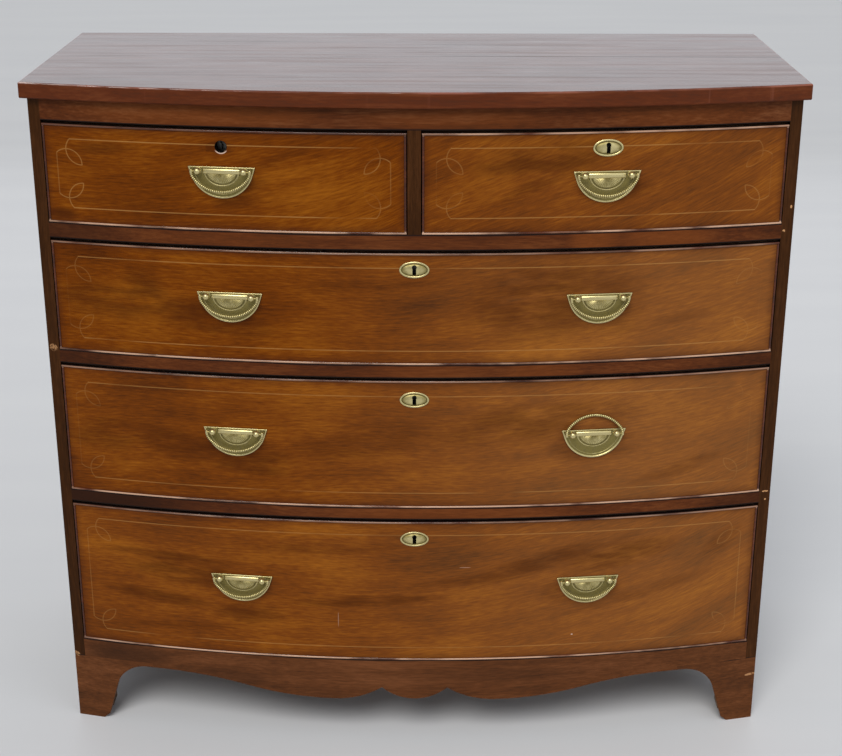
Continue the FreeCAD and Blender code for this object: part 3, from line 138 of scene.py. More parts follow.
class Recipe:
    """A material under construction: nodes, sums and the shader they end in."""

    def __init__(self, name: str) -> None:
        """Start a material.

        Args:
            name: The material's name.
        """
        self.material = bpy.data.materials.new(name)
        self.material.use_nodes = True
        self.tree = self.material.node_tree
        self.shader = self.tree.nodes["Principled BSDF"]

    def node(
        self,
        kind: str,
        settings: Optional[Dict[str, Any]] = None,
        sockets: Optional[Dict[str, Any]] = None,
    ) -> bpy.types.ShaderNode:
        """Add a node.

        Args:
            kind: The node's type.
            settings: Its properties, set first; "stops" holds a ramp's stops.
            sockets: What each input, by its identifier, holds or is linked to.

        Returns:
            The node.
        """
        made = self.tree.nodes.new(kind)
        for name, value in (settings or {}).items():
            if name == "stops":
                self.set_stops(made.color_ramp, value)
            else:
                setattr(made, name, value)
        for name, value in (sockets or {}).items():
            socket = next(item for item in made.inputs if item.identifier == name)
            self.feed(socket, value)
        return made

    @staticmethod
    def set_stops(ramp: bpy.types.ColorRamp, stops: Sequence[Tuple[float, Colour]]) -> None:
        """Give a ramp its stops, from nought to one."""
        while len(ramp.elements) < len(stops):
            ramp.elements.new(0.5)
        for element, (position, colour) in zip(ramp.elements, stops):
            element.position = position
            element.color = (*colour, 1.0)

    def feed(self, socket: bpy.types.NodeSocket, value: Any) -> None:
        """Link a socket to a reading or another socket, or set it to a plain value."""
        if isinstance(value, Reading):
            self.tree.links.new(value.socket, socket)
        elif isinstance(value, bpy.types.NodeSocket):
            self.tree.links.new(value, socket)
        elif isinstance(value, tuple) and socket.type == "RGBA":
            socket.default_value = (*value, 1.0)
        else:
            socket.default_value = value

    def math(self, operation: str, *values: Number) -> Reading:
        """Work out one sum.

        Args:
            operation: The Math node's operation.
            *values: What it takes, in order.

        Returns:
            The result.
        """
        names = ("Value", "Value_001", "Value_002")
        node = self.node("ShaderNodeMath", {"operation": operation}, dict(zip(names, values)))
        return Reading(self, node.outputs["Value"])

    def place(self) -> Spot:
        """The point's x, y and z on the object."""
        here = self.node("ShaderNodeTexCoord").outputs["Object"]
        split = self.node("ShaderNodeSeparateXYZ", sockets={"Vector": here})
        return tuple(Reading(self, split.outputs[axis]) for axis in "XYZ")

    def point(self, x: Number, y: Number, z: Number) -> bpy.types.NodeSocket:
        """A vector made of three numbers."""
        node = self.node("ShaderNodeCombineXYZ", sockets={"X": x, "Y": y, "Z": z})
        return node.outputs["Vector"]

    def noise(
        self, at: bpy.types.NodeSocket, scale: float = 1.0, detail: float = 2.0,
        rough: float = 0.5, warp: float = 0.0,
    ) -> Reading:
        """Cloudy noise, about a half on average.

        Args:
            at: Where it is read.
            scale: How fine it is.
            detail: How many octaves it has.
            rough: How strong the finer octaves are.
            warp: How far it is pulled about.

        Returns:
            The noise.
        """
        sockets = {
            "Vector": at, "Scale": scale, "Detail": detail, "Roughness": rough,
            "Distortion": warp,
        }
        node = self.node("ShaderNodeTexNoise", sockets=sockets)
        return Reading(self, node.outputs["Fac"])

    def ramp(self, value: Reading, stops: Sequence[Tuple[float, Colour]]) -> bpy.types.NodeSocket:
        """The colour that a ramp gives for a value."""
        node = self.node("ShaderNodeValToRGB", {"stops": stops}, {"Fac": value})
        return node.outputs["Color"]

    def mix(self, share: Number, first: Any, second: Any, blend: str = "MIX") -> Any:
        """Mix two colours.

        Args:
            share: How much of the second there is.
            first: The colour below.
            second: The colour above.
            blend: How they are mixed.

        Returns:
            The mixed colour's socket.
        """
        settings = {"data_type": "RGBA", "blend_type": blend, "clamp_factor": True}
        sockets = {"Factor_Float": share, "A_Color": first, "B_Color": second}
        node = self.node("ShaderNodeMix", settings, sockets)
        return next(item for item in node.outputs if item.identifier == "Result_Color")

    def mark(self, name: str) -> Reading:
        """A number that a piece keeps at each of its points."""
        node = self.node("ShaderNodeAttribute", {"attribute_name": name})
        return Reading(self, node.outputs["Fac"])

    def bump(self, height: Number, strength: float, depth: float) -> bpy.types.NodeSocket:
        """A bumpy normal from a height."""
        sockets = {"Height": height, "Strength": strength, "Distance": depth}
        return self.node("ShaderNodeBump", sockets=sockets).outputs["Normal"]

    def finish(self, **sockets: Any) -> bpy.types.Material:
        """Feed the shader and hand over the material.

        Args:
            **sockets: The shader's inputs by name, with _ for each space.

        Returns:
            The material.
        """
        for name, value in sockets.items():
            self.feed(self.shader.inputs[name.replace("_", " ")], value)
        return self.material


# ---------------------------------------------------------------- the bowed front


@dataclass(frozen=True)
class Bow:
    """The circle that the front follows, seen from above."""

    radius: float = 2.121
    centre_y: float = 1.8854992

    def face(self, x: float) -> float:
        """The y of the front's face at an x."""
        return self.centre_y - math.sqrt(self.radius ** 2 - x ** 2)

    def reach(self, x: Reading, y: Reading) -> Reading:
        """How far a point lies from the middle of the circle."""
        return x.span(y - self.centre_y)

    def frame(self, x: float, z: float, stand: float = 0.0) -> Matrix:
        """A frame square to the front.

        Args:
            x: Where it stands across the chest.
            z: Its height.
            stand: How far it stands off the front.

        Returns:
            The frame, with its own -Y straight out of the front.
        """
        turn = math.asin(x / self.radius)
        reach = self.radius + stand
        place = Vector((reach * math.sin(turn), self.centre_y - reach * math.cos(turn), z))
        return Matrix.Translation(place) @ Matrix.Rotation(turn, 4, "Z")


BOW = Bow()


@dataclass(frozen=True)
class DrawerFront:
    """Where a drawer's front lies, and where its lock and handles are on it."""

    drawer: str
    low_x: float
    high_x: float
    low_z: float
    high_z: float
    key_z: float
    lock_height: float
    handle_z: float
    handles: Tuple[float, ...] = (-0.255, 0.255)

    @property
    def middle(self) -> float:
        """Its middle, where the lock is."""
        return (self.low_x + self.high_x) / 2


# ---------------------------------------------------------------- finishes


class Grain(Enum):
    """Which way the grain of a board runs."""

    ACROSS = "x"
    DEEP = "y"
    UPRIGHT = "z"


@dataclass(frozen=True)
class Patch:
    """An oval patch on the front: a stain, a paler let-in piece, a chip or a scratch."""

    x: float
    z: float
    length: float
    height: float
    tilt: float = 0.0
    strength: float = 1.0
    hard: bool = False

    def mask(self, x: Reading, z: Reading) -> Reading:
        """Where the patch lies.

        Args:
            x: The point's x.
            z: The point's z.

        Returns:
            One inside the patch, fading to nought at its edge.
        """
        cosine = math.cos(math.radians(self.tilt))
        sine = math.sin(math.radians(self.tilt))
        along = ((x - self.x) * cosine + (z - self.z) * sine) / (self.length / 2)
        across = ((z - self.z) * cosine - (x - self.x) * sine) / (self.height / 2)
        start = 0.75 if self.hard else 0.0
        return (along * along + across * across).fade(1.0, start) * self.strength


@dataclass(frozen=True)
class Crescent:
    """A pale crescent on the lower rim of a bored hole: painted light standing in for the lit lower
    wall of the bore.
    """

    x: float
    z: float
    radius: float
    width: float
    strength: float = 1.0

    def mask(self, x: Reading, z: Reading) -> Reading:
        """Where the painted light on the rim lies.

        Args:
            x: The point's x.
            z: The point's z.

        Returns:
            One on the rim's lower side, fading to nought up each side.
        """
        across, up = x - self.x, z - self.z
        ring = abs(across.span(up) - self.radius).fade(self.width, self.width * 0.5)
        return ring * (up / -self.radius).fade(0.45, 0.85) * self.strength


@dataclass(frozen=True)
class Timber:
    """A board with streaky grain, pores, clouds and a polish."""

    name: str
    dark: Colour
    middle: Colour
    light: Colour
    grain: Grain = Grain.ACROSS
    streak: float = 0.022
    stretch: float = 13.0
    seed: float = 0.0
    figure: float = 1.2
    fibre: float = 0.5
    flecks: float = 0.35
    clouds: float = 0.5
    pores: float = 0.35
    roughness: float = 0.34
    gloss: float = 0.3
    coat: float = 0.25
    bump_depth: float = 0.00025

    def directions(self, recipe: Recipe) -> Spot:
        """The point measured along the grain, across it and into it."""
        x, y, z = recipe.place()
        if self.grain is Grain.ACROSS:
            return x, z, y
        if self.grain is Grain.DEEP:
            return y, x, z
        return z, x, y

    def grained(self, recipe: Recipe, at: Spot, fine: Tuple[float, float],
                shift: float = 1.0, **noise: float) -> Reading:
        """Noise that is drawn out along the grain.

        Args:
            recipe: The recipe that needs it.
            at: The point along the grain, across it and into it.
            fine: How fine the noise is along the grain, and across it.
            shift: How much of the seed moves it along the grain.
            **noise: What else the noise takes.

        Returns:
            The noise.
        """
        along, across, into = at
        lengthwise, crosswise = fine
        moved = along * lengthwise + self.seed * shift
        return recipe.noise(recipe.point(moved, across * crosswise, into * crosswise), **noise)

    def tone(self, recipe: Recipe, at: Spot) -> Reading:
        """How light the wood is, from nought to about one.

        Args:
            recipe: The recipe that needs it.
            at: The point along the grain, across it and into it.

        Returns:
            The tone.
        """
        along, across, into = at
        drift = self.grained(recipe, at, (2.2, 3.0), detail=1.0)
        at = (along, across + (drift - 0.5) * self.streak * 2.2, into)
        lengthwise, crosswise = 1.0 / (self.streak * self.stretch), 1.0 / self.streak
        broad = self.grained(recipe, at, (lengthwise, crosswise), 3.1, detail=3.0, rough=0.55)
        fine = self.grained(recipe, at, (lengthwise * 4.0, crosswise * 6.25))
        cloud = self.grained(recipe, at, (5.0, 9.0), 7.7)
        fleck = self.grained(recipe, at, (60.0, 420.0))
        spread = (broad - 0.5) * self.figure + (fine - 0.5) * self.fibre
        spread = spread + (fleck - 0.5) * self.flecks
        return spread + (cloud - 0.5) * self.clouds + 0.5

    def pore_mask(self, recipe: Recipe, at: Spot) -> Reading:
        """Where the short dark pores lie."""
        return self.grained(recipe, at, (55.0, 950.0), detail=1.0).fade(0.60, 0.72)

    def colour(self, recipe: Recipe, tone: Reading) -> bpy.types.NodeSocket:
        """The wood's colour at a tone."""
        stops = [(0.12, self.dark), (0.5, self.middle), (0.86, self.light)]
        return recipe.ramp(tone, stops)

    def marks(self, recipe: Recipe, colour: Any) -> Any:
        """The colour with this board's own marks; plain boards have none."""
        return colour

    def bare(self, recipe: Recipe) -> Number:
        """Where the wood has no polish; polished all over unless a board says otherwise."""
        return 0.0

    def make(self) -> bpy.types.Material:
        """Build the material."""
        recipe = Recipe(self.name)
        at = self.directions(recipe)
        tone = self.tone(recipe, at)
        pores = self.pore_mask(recipe, at)
        colour = recipe.mix(pores * self.pores, self.colour(recipe, tone), self.dark)
        colour = self.marks(recipe, colour)
        rub = self.grained(recipe, at, (14.0, 60.0), 0.0, detail=3.0)
        bare = self.bare(recipe)
        return recipe.finish(
            Base_Color=colour,
            Specular_IOR_Level=self.gloss,
            Roughness=(rub - 0.5) * 0.22 + bare * 0.3 + self.roughness,
            Coat_Weight=(1.0 - bare) * self.coat,
            Coat_Roughness=0.18,
            Normal=recipe.bump(tone * 0.5 - pores, 0.35, self.bump_depth),
        )


@dataclass(frozen=True)
class Stringing:
    """The fine pale line let into a drawer front, with a leaf knot at each corner."""

    centre_x: float
    centre_z: float
    half_x: float
    half_z: float
    width: float = 0.00135
    level: float = 0.8
    upright: float = 0.15
    leaf: float = 0.45
    knot: float = 0.019
    leaf_centre: float = 0.0346
    leaf_side: float = 0.0144
    leaf_radius: float = 0.0209
    leaf_tip: float = 0.0356

    def line(self, distance: Reading) -> Reading:
        """A line's mask from the distance to its middle."""
        return abs(distance).fade(self.width * 0.75, self.width * 0.3)

    def arc(self, u: Reading, v: Reading) -> Reading:
        """One strand of a leaf knot.

        Args:
            u: The distance in from the corner along one line.
            v: The distance in from the corner along the other.

        Returns:
            The strand's mask.
        """
        reach = (u - self.leaf_centre).span(v - self.leaf_side) - self.leaf_radius
        kept = u.below(self.leaf_tip, 0.0004) * v.above(0.0, 0.0004)
        return self.line(reach) * kept

    def mask(self, recipe: Recipe, x: Reading, z: Reading, seed: float) -> Reading:
        """Where the inlay shows.

        Args:
            recipe: The recipe that needs it.
            x: The point's x.
            z: The point's z.
            seed: Which wear the inlay has.

        Returns:
            The inlay's mask, worn away here and there.
        """
        u = self.half_x - abs(x - self.centre_x)
        v = self.half_z - abs(z - self.centre_z)
        level = self.line(v) * u.above(self.knot, 0.0005) * self.level
        upright = self.line(u) * v.above(self.knot, 0.0005) * self.upright
        leaf = self.arc(u, v).most(self.arc(v, u)) * self.leaf
        worn = recipe.noise(recipe.point(x * 9.0 + seed, 0.0, z * 16.0), detail=2.0)
        return level.most(upright).most(leaf) * worn.fade(0.28, 0.52)


@dataclass(frozen=True, kw_only=True)
class Veneer(Timber):
    """A drawer front's figured veneer: bending streaks, stains, dark edges, string inlay, a
    lightening that is partly fading and partly painted sheen, and painted light and shade at the
    key bore.
    """

    front: DrawerFront
    inlay: Stringing
    slope: float
    curl: float
    curl_from: float
    stains: Tuple[Patch, ...]
    pale_and_lit_spots: Tuple[Union[Patch, Crescent], ...]
    fade_and_sheen: float
    fade_and_sheen_right: float
    thickness: float = 0.0015
    bore: float = 0.0084
    # painted shade colour for the inside of the key bore
    soot_and_shade: Colour = (0.006, 0.004, 0.003)
    # pale colour for fading and painted sheen
    bleach_and_sheen: Colour = (0.080, 0.043, 0.017)
    straw: Colour = (0.42, 0.21, 0.06)
    raw: Colour = (0.66, 0.48, 0.38)
    grime: Colour = (0.040, 0.009, 0.004)
    core_dark: Colour = (0.17, 0.085, 0.040)
    core_light: Colour = (0.36, 0.21, 0.11)

    def directions(self, recipe: Recipe) -> Spot:
        """As a board's, with the grain sweeping upwards past curl_from."""
        x, y, z = recipe.place()
        past = (x - self.curl_from).most(0.0)
        rise = x * self.slope + past * past * (self.curl / 2)
        return x, z - rise, y * 0.0

    def marks(self, recipe: Recipe, colour: Any) -> Any:
        """The colour with fading and painted sheen, stains, grimy edges, the inlay, pale spots with
        a crescent of painted light, and the key bore painted dark as shade.
        """
        x, _, z = recipe.place()
        front = self.front
        # partly fading and partly painted sheen: lighter towards the right, and on the lower
        # drawers
        light = x.fade(-0.25, 0.42) * self.fade_and_sheen_right + self.fade_and_sheen
        colour = recipe.mix(light, colour, self.bleach_and_sheen, "SCREEN")
        break_up = recipe.noise(recipe.point(x * 16.0 + self.seed, 0.0, z * 60.0), detail=3.0)
        shade = break_up * 0.0
        for stain in self.stains:
            shade = shade.most(stain.mask(x, z))
        shade = shade * break_up.fade(0.2, 0.65)
        colour = recipe.mix(shade * 0.85, colour, self.dark)
        edge_x = (x - front.low_x).least(front.high_x - x)
        edge_z = (z - front.low_z).least(front.high_z - z)
        near = edge_x.least(edge_z) + (break_up - 0.5) * 0.012
        colour = recipe.mix(near.fade(0.015, 0.001) * 0.4, colour, self.grime)
        colour = recipe.mix(self.inlay.mask(recipe, x, z, self.seed), colour, self.straw)
        # pale spots are real pale marks and scratches, except a crescent, which is painted light
        for spot in self.pale_and_lit_spots:
            colour = recipe.mix(spot.mask(x, z), colour, self.raw)
        core = recipe.mix(break_up, self.core_dark, self.core_light)
        colour = recipe.mix(self.bare(recipe), colour, core)
        # painted shade: the inside of the key bore is painted near black
        bored = (x - front.middle).span(z - front.key_z).below(self.bore, 0.0001)
        return recipe.mix(bored, colour, self.soot_and_shade)

    def bare(self, recipe: Recipe) -> Reading:
        """The unpolished core behind the veneer."""
        x, y, _ = recipe.place()
        return (BOW.radius - BOW.reach(x, y)).above(self.thickness, 0.00015)


@dataclass(frozen=True)
class Facing(Timber):
    """A rail, stile, foot or apron facing: polish with let-in pieces, stains and chips, and painted
    shade lines along the rails' edges.
    """

    patches: Tuple[Patch, ...] = ()
    stains: Tuple[Patch, ...] = ()
    chips: Tuple[Patch, ...] = ()
    cracks: Tuple[Patch, ...] = ()
    eaves: Tuple[float, ...] = ()
    sills: Tuple[float, ...] = ()
    patch_colour: Colour = (0.28, 0.075, 0.012)
    raw: Colour = (0.52, 0.27, 0.12)
    # dark colour for the cracks, and for the painted shade along the eaves and sills
    soot_and_shade: Colour = (0.012, 0.007, 0.006)

    def marks(self, recipe: Recipe, colour: Any) -> Any:
        """The colour with its lighter pieces, stains, chips and cracks, and painted shade lines
        under the rails and under the beads.
        """
        x, y, z = recipe.place()
        front = y.below(-0.10, 0.01)
        for patch in self.patches:
            colour = recipe.mix(patch.mask(x, z) * 0.75, colour, self.patch_colour)
        for stain in self.stains:
            colour = recipe.mix(stain.mask(x, z) * 0.75, colour, self.dark)
        ragged = recipe.noise(recipe.point(x * 300.0, y * 300.0, z * 300.0), detail=2.0)
        for chip in self.chips:
            shown = chip.mask(x, z) * ragged.fade(0.35, 0.5) * front
            colour = recipe.mix(shown, colour, self.raw)
        for crack in self.cracks:
            colour = recipe.mix(crack.mask(x, z) * front, colour, self.soot_and_shade)
        # painted shade: a dark line along each rail's lower edge, over the gap above a drawer
        for level in self.eaves:
            colour = recipe.mix(abs(z - level).fade(0.0020, 0.0010), colour, self.soot_and_shade)
        wander = recipe.noise(recipe.point(x * 5.0, 0.0, self.seed), detail=2.0)
        # painted shadow: a dark band on the rail just under each drawer's bottom bead
        for level in self.sills:
            under = abs(z - level + wander.fade(0.40, 0.62) * 0.0012 - 0.0012)
            colour = recipe.mix(under.fade(0.0034, 0.0022) * 0.9, colour, self.soot_and_shade)
        return colour


@dataclass(frozen=True, kw_only=True)
class BeadWood(Timber):
    """The cock beads: dark polished strips whose level noses are rubbed pale, partly as wear and
    partly as a painted highlight, with painted shade on the top bead's upper side.
    """

    front: DrawerFront
    wear_and_highlight_high: float
    wear_and_highlight_low: float = 0.9
    bead: float = 0.0042
    nose_radius: float = 2.1222
    # pale rubbed wood, also a painted highlight along the level beads' noses
    rubbed: Colour = (0.62, 0.38, 0.25)
    # painted shade: the near black of the gap above each drawer, laid on the top bead's upper side
    soot_and_shade: Colour = (0.010, 0.005, 0.004)

    def bare(self, recipe: Recipe) -> Reading:
        """The upper side of the top bead, painted dark as painted shade from the gap under the rail
        above, and left dull.
        """
        x, y, z = recipe.place()
        behind = BOW.reach(x, y).below(self.nose_radius - 0.0002, 0.0002)
        return (z - self.front.high_z).above(-0.0008, 0.0002) * behind

    def marks(self, recipe: Recipe, colour: Any) -> Any:
        """The colour, rubbed pale where a level bead stands proudest: partly wear, partly a painted
        highlight on the upward-facing noses.
        """
        x, y, z = recipe.place()
        wear = recipe.noise(recipe.point(x * 14.0, y * 14.0, z * 30.0 + self.seed), detail=3.0)
        proud = BOW.reach(x, y).above(self.nose_radius, 0.0003) * wear.fade(0.30, 0.60)
        low = (z - self.front.low_z).below(self.bead, 0.0003) * self.wear_and_highlight_low
        high = (z - self.front.high_z).above(-self.bead, 0.0003) * self.wear_and_highlight_high
        # wear and painted highlight: only the level top and bottom beads are lightened
        colour = recipe.mix(proud * low.most(high), colour, self.rubbed)
        # the top bead's upper side takes the painted shade colour
        return recipe.mix(self.bare(recipe), colour, self.soot_and_shade)


@dataclass(frozen=True)
class BoxWood(Timber):
    """A drawer's sides and back, each with its grain along its own length."""

    back_face: float = 0.194

    def directions(self, recipe: Recipe) -> Spot:
        """Along the sides from front to back, and along the back from side to side."""
        x, y, z = recipe.place()
        back = y.above(self.back_face, 0.0004)
        side = 1.0 - back
        return y * side + x * back, z, x * side + y * back


@dataclass(frozen=True)
class BackWood(Timber):
    """The back boards, with a dark line down each joint and a tone for each board."""

    half_width: float = 0.5168
    boards: int = 5
    line: Colour = (0.012, 0.008, 0.006)
    grey: Colour = (0.105, 0.082, 0.062)

    def marks(self, recipe: Recipe, colour: Any) -> Any:
        """The colour with the joints and the boards' own tones."""
        x, y, z = recipe.place()
        pitch = 2 * self.half_width / self.boards
        tone = x * 0.0
        gaps = x * 0.0
        for index in range(1, self.boards):
            place = -self.half_width + pitch * index
            gaps = gaps.most(abs(x - place).fade(0.0016, 0.0005))
            tone = tone + x.above(place, 0.0003) * (0.25 if index % 2 else -0.2)
        colour = recipe.mix(tone, colour, self.grey)
        dust = recipe.noise(recipe.point(x * 3.0, y, z * 2.0), detail=4.0)
        colour = recipe.mix(dust.fade(0.40, 0.75) * 0.5, colour, self.grey)
        return recipe.mix(gaps * 0.85, colour, self.line)


@dataclass(frozen=True)
class TopWood(Timber):
    """The top: rubbed satin polish with a joint between its boards, scuffs and worn arrises."""

    joint_y: float = 0.031
    top_z: float = 0.992
    rim_radius: float = 2.131
    half_width: float = 0.534
    arris: float = 0.0022
    rubbed: Colour = (0.30, 0.10, 0.06)
    soot_and_shade: Colour = (0.012, 0.007, 0.006)

    def joint(self, recipe: Recipe) -> Reading:
        """The joint between the boards where it has opened."""
        x, y, _ = recipe.place()
        wander = recipe.noise(recipe.point(x * 2.0, 0.0, 0.0), detail=2.0) - 0.5
        gap = abs(y - self.joint_y + wander * 0.004).fade(0.0016, 0.0006)
        return gap * x.fade(-0.05, 0.16)

    def marks(self, recipe: Recipe, colour: Any) -> Any:
        """The colour with its joint, scuffs and rubbed arrises."""
        x, y, z = recipe.place()
        colour = recipe.mix(self.joint(recipe) * 0.85, colour, self.soot_and_shade)
        rim = (BOW.reach(x, y) - self.rim_radius).most(abs(x) - self.half_width)
        arris = rim.above(-self.arris, 0.0010) * (z - self.top_z).above(-self.arris, 0.0010)
        wear = recipe.noise(recipe.point(x * 12.0, y * 12.0, 1.0), detail=4.0)
        colour = recipe.mix(arris * wear.fade(0.40, 0.62) * 0.75, colour, self.rubbed)
        scuff = recipe.noise(recipe.point(x * 30.0, y * 420.0, 5.0), detail=2.0)
        return recipe.mix(scuff.fade(0.66, 0.74) * 0.15, colour, self.rubbed)

    def bare(self, recipe: Recipe) -> Reading:
        """The nosing below the top face, which is waxed less."""
        x, y, z = recipe.place()
        nosing = (z - self.top_z).below(-0.0014, 0.0006) * 0.9
        dents = recipe.noise(recipe.point(x * 3.0, y * 70.0, 2.0), detail=4.0).fade(0.45, 0.75)
        return nosing.most(self.joint(recipe) * 0.9).most(dents * 0.25)


@dataclass(frozen=True)
class AgedBrass:
    """Lacquer-free brass: bright where it is rubbed, brown and green where it isn't."""

    name: str
    bright: Colour = (0.64, 0.55, 0.27)
    dull: Colour = (0.26, 0.212, 0.070)
    dirt: Colour = (0.040, 0.029, 0.008)

    def make(self) -> bpy.types.Material:
        """Build the material."""
        recipe = Recipe(self.name)
        x, y, z = recipe.place()
        polish = recipe.mark("polish")
        at = recipe.point(x, y, z)
        cloud = recipe.noise(at, scale=160.0, detail=4.0, rough=0.6)
        speck = recipe.noise(at, scale=900.0, detail=2.0)
        rubbed = (polish + (cloud - 0.5) * 0.8).fade(0.15, 0.85)
        colour = recipe.mix(rubbed, self.dull, self.bright)
        grime = (polish * -1.3 + cloud * 1.2).fade(0.35, 0.75) * speck.fade(0.3, 0.6)
        colour = recipe.mix(grime * 0.85, colour, self.dirt)
        return recipe.finish(
            Base_Color=colour,
            Metallic=1.0 - grime * 0.55,
            Roughness=0.56 - rubbed * 0.19 + grime * 0.2,
            Normal=recipe.bump(cloud + speck * 0.3, 0.14, 0.0002),
        )


@dataclass(frozen=True)
class OldIron:
    """Dull grey lock metal with brown bloom."""

    name: str
    grey: Colour = (0.10, 0.097, 0.09)
    bloom: Colour = (0.070, 0.036, 0.02)

    def make(self) -> bpy.types.Material:
        """Build the material."""
        recipe = Recipe(self.name)
        x, y, z = recipe.place()
        at = recipe.point(x, y, z)
        cloud = recipe.noise(at, scale=70.0, detail=5.0, rough=0.65)
        brushed = recipe.noise(recipe.point(x * 40.0, y * 40.0, z * 900.0), detail=2.0)
        rust = cloud.fade(0.52, 0.70)
        return recipe.finish(
            Base_Color=recipe.mix(rust * 0.8, self.grey, self.bloom),
            Metallic=1.0 - rust * 0.8,
            Roughness=0.38 + rust * 0.35 + (brushed - 0.5) * 0.15,
            Normal=recipe.bump(cloud + brushed * 0.4, 0.25, 0.0002),
        )


@dataclass(frozen=True)
class PlainFloor:
    """A plain pale floor with the faintest mottle."""

    name: str = "studio_floor"
    pale: Colour = (0.62, 0.63, 0.65)
    paler: Colour = (0.68, 0.69, 0.70)

    def make(self) -> bpy.types.Material:
        """Build the material."""
        recipe = Recipe(self.name)
        x, y, _ = recipe.place()
        cloud = recipe.noise(recipe.point(x * 0.8, y * 6.0, 0.0), detail=3.0)
        return recipe.finish(
            Base_Color=recipe.mix(cloud, self.pale, self.paler),
            Roughness=0.5 + cloud * 0.1,
        )


# ---------------------------------------------------------------- making pieces


Settle = Callable[[Vector], Vector]
CRISP = math.radians(35.0)
BACKWARDS = Matrix.Rotation(math.pi, 4, "Z")


def points_of(edges: Sequence[bmesh.types.BMEdge]) -> Set[bmesh.types.BMVert]:
    """The points at the ends of the edges."""
    return {vert for edge in edges for vert in edge.verts}


def edges_at(verts: Sequence[bmesh.types.BMVert]) -> Set[bmesh.types.BMEdge]:
    """The edges that meet at the points."""
    return {edge for vert in verts for edge in vert.link_edges}


class Piece:
    """A mesh under construction that ends as one object on one body."""

    def __init__(self) -> None:
        """Start with an empty mesh that can keep a polish mark at each point."""
        self.mesh = bmesh.new()
        self.polish = self.mesh.verts.layers.float.new("polish")

    def mark_polish(self, verts: Sequence[bmesh.types.BMVert], value: Any) -> None:
        """Mark how rubbed the points are.

        Args:
            verts: The points.
            value: A number, or a function of a point's place that gives one.
        """
        for vert in verts:
            vert[self.polish] = value(vert.co) if callable(value) else value

    def spin(self, parts: Sequence[Any], centre: Vector, axis: Vector, angle: float,
             steps: int, close: bool = False) -> List[Any]:
        """Sweep points or edges round an axis, and return the last ones made."""
        made = bmesh.ops.spin(
            self.mesh, geom=list(parts), cent=centre, axis=axis, dvec=(0, 0, 0),
            angle=angle, steps=steps, use_merge=close, use_normal_flip=False,
            use_duplicate=False,
        )
        return made["geom_last"]

    def grow(self, edges: Sequence[bmesh.types.BMEdge], settle: Settle) -> List[Any]:
        """Extrude a line of edges and settle its new points.

        Args:
            edges: The line.
            settle: What gives a new point's place from where it started.

        Returns:
            The new line's edges.
        """
        made = bmesh.ops.extrude_edge_only(self.mesh, edges=edges)["geom"]
        points = {item for item in made if isinstance(item, bmesh.types.BMVert)}
        for point in points:
            point.co = settle(point.co)
        return [edge for edge in edges_at(points) if points.issuperset(edge.verts)]

    def turned(self, profile: Sequence[Tuple[float, float]],
               steps: int) -> List[bmesh.types.BMVert]:
        """Turn a profile about the -Y axis, as on a lathe.

        Args:
            profile: Radius and distance along -Y of each point.
            steps: How many faces it has round it.

        Returns:
            The points made.
        """
        before = set(self.mesh.verts)
        points = [self.mesh.verts.new((radius, -along, 0.0)) for radius, along in profile]
        edges = [self.mesh.edges.new(pair) for pair in zip(points, points[1:])]
        self.spin(points + edges, Vector(), Vector((0, 1, 0)), math.tau, steps, close=True)
        made = [vert for vert in self.mesh.verts if vert not in before]
        bmesh.ops.remove_doubles(self.mesh, verts=made, dist=1e-6)
        return [vert for vert in self.mesh.verts if vert.is_valid and vert not in before]

    def rod(self, radius: float, length: float, sides: int,
            place: Matrix) -> List[bmesh.types.BMVert]:
        """Add a straight rod about its own Z axis.

        Args:
            radius: From its middle to a corner.
            length: How long it is.
            sides: How many faces it has round it.
            place: Where it goes.

        Returns:
            Its points.
        """
        return bmesh.ops.create_cone(
            self.mesh, cap_ends=True, segments=sides, radius1=radius, radius2=radius,
            depth=length, matrix=place,
        )["verts"]

    def soften(self, edges: Sequence[bmesh.types.BMEdge], offset: float, segments: int = 2) -> None:
        """Round edges off."""
        bmesh.ops.bevel(
            self.mesh, geom=list(edges), offset=offset, offset_type="OFFSET",
            segments=segments, profile=0.5, affect="EDGES", material=-1, clamp_overlap=True,
        )

    def add(self, other: "Piece", matrix: Matrix) -> None:
        """Copy another piece into this one, placed by the matrix."""
        holder = bpy.data.meshes.new("holder")
        other.mesh.to_mesh(holder)
        before = set(self.mesh.verts)
        self.mesh.from_mesh(holder)
        made = [vert for vert in self.mesh.verts if vert not in before]
        bmesh.ops.transform(self.mesh, matrix=matrix, verts=made)
        bpy.data.meshes.remove(holder)

    def finish(self, name: str, body: str, slot: str, material: bpy.types.Material,
               place: Optional[Matrix] = None) -> bpy.types.Object:
        """Make the object.

        Args:
            name: Its name.
            body: The body that it rides on.
            slot: Not used.
            material: Its material.
            place: Where the finished mesh goes.

        Returns:
            The object, at the origin, with its place in its mesh.
        """
        if place is not None:
            bmesh.ops.transform(self.mesh, matrix=place, verts=self.mesh.verts)
        bmesh.ops.recalc_face_normals(self.mesh, faces=self.mesh.faces)
        for face in self.mesh.faces:
            face.smooth = True
        for edge in self.mesh.edges:
            if len(edge.link_faces) == 2:
                edge.smooth = edge.calc_face_angle(0.0) < CRISP
        data = bpy.data.meshes.new(name)
        self.mesh.to_mesh(data)
        self.mesh.free()
        data.materials.append(material)
        made = bpy.data.objects.new(name, data)
        bpy.context.scene.collection.objects.link(made)
        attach(made, body)
        LOG.info("%s rides on %s with %d faces", name, body, len(data.polygons))
        return made


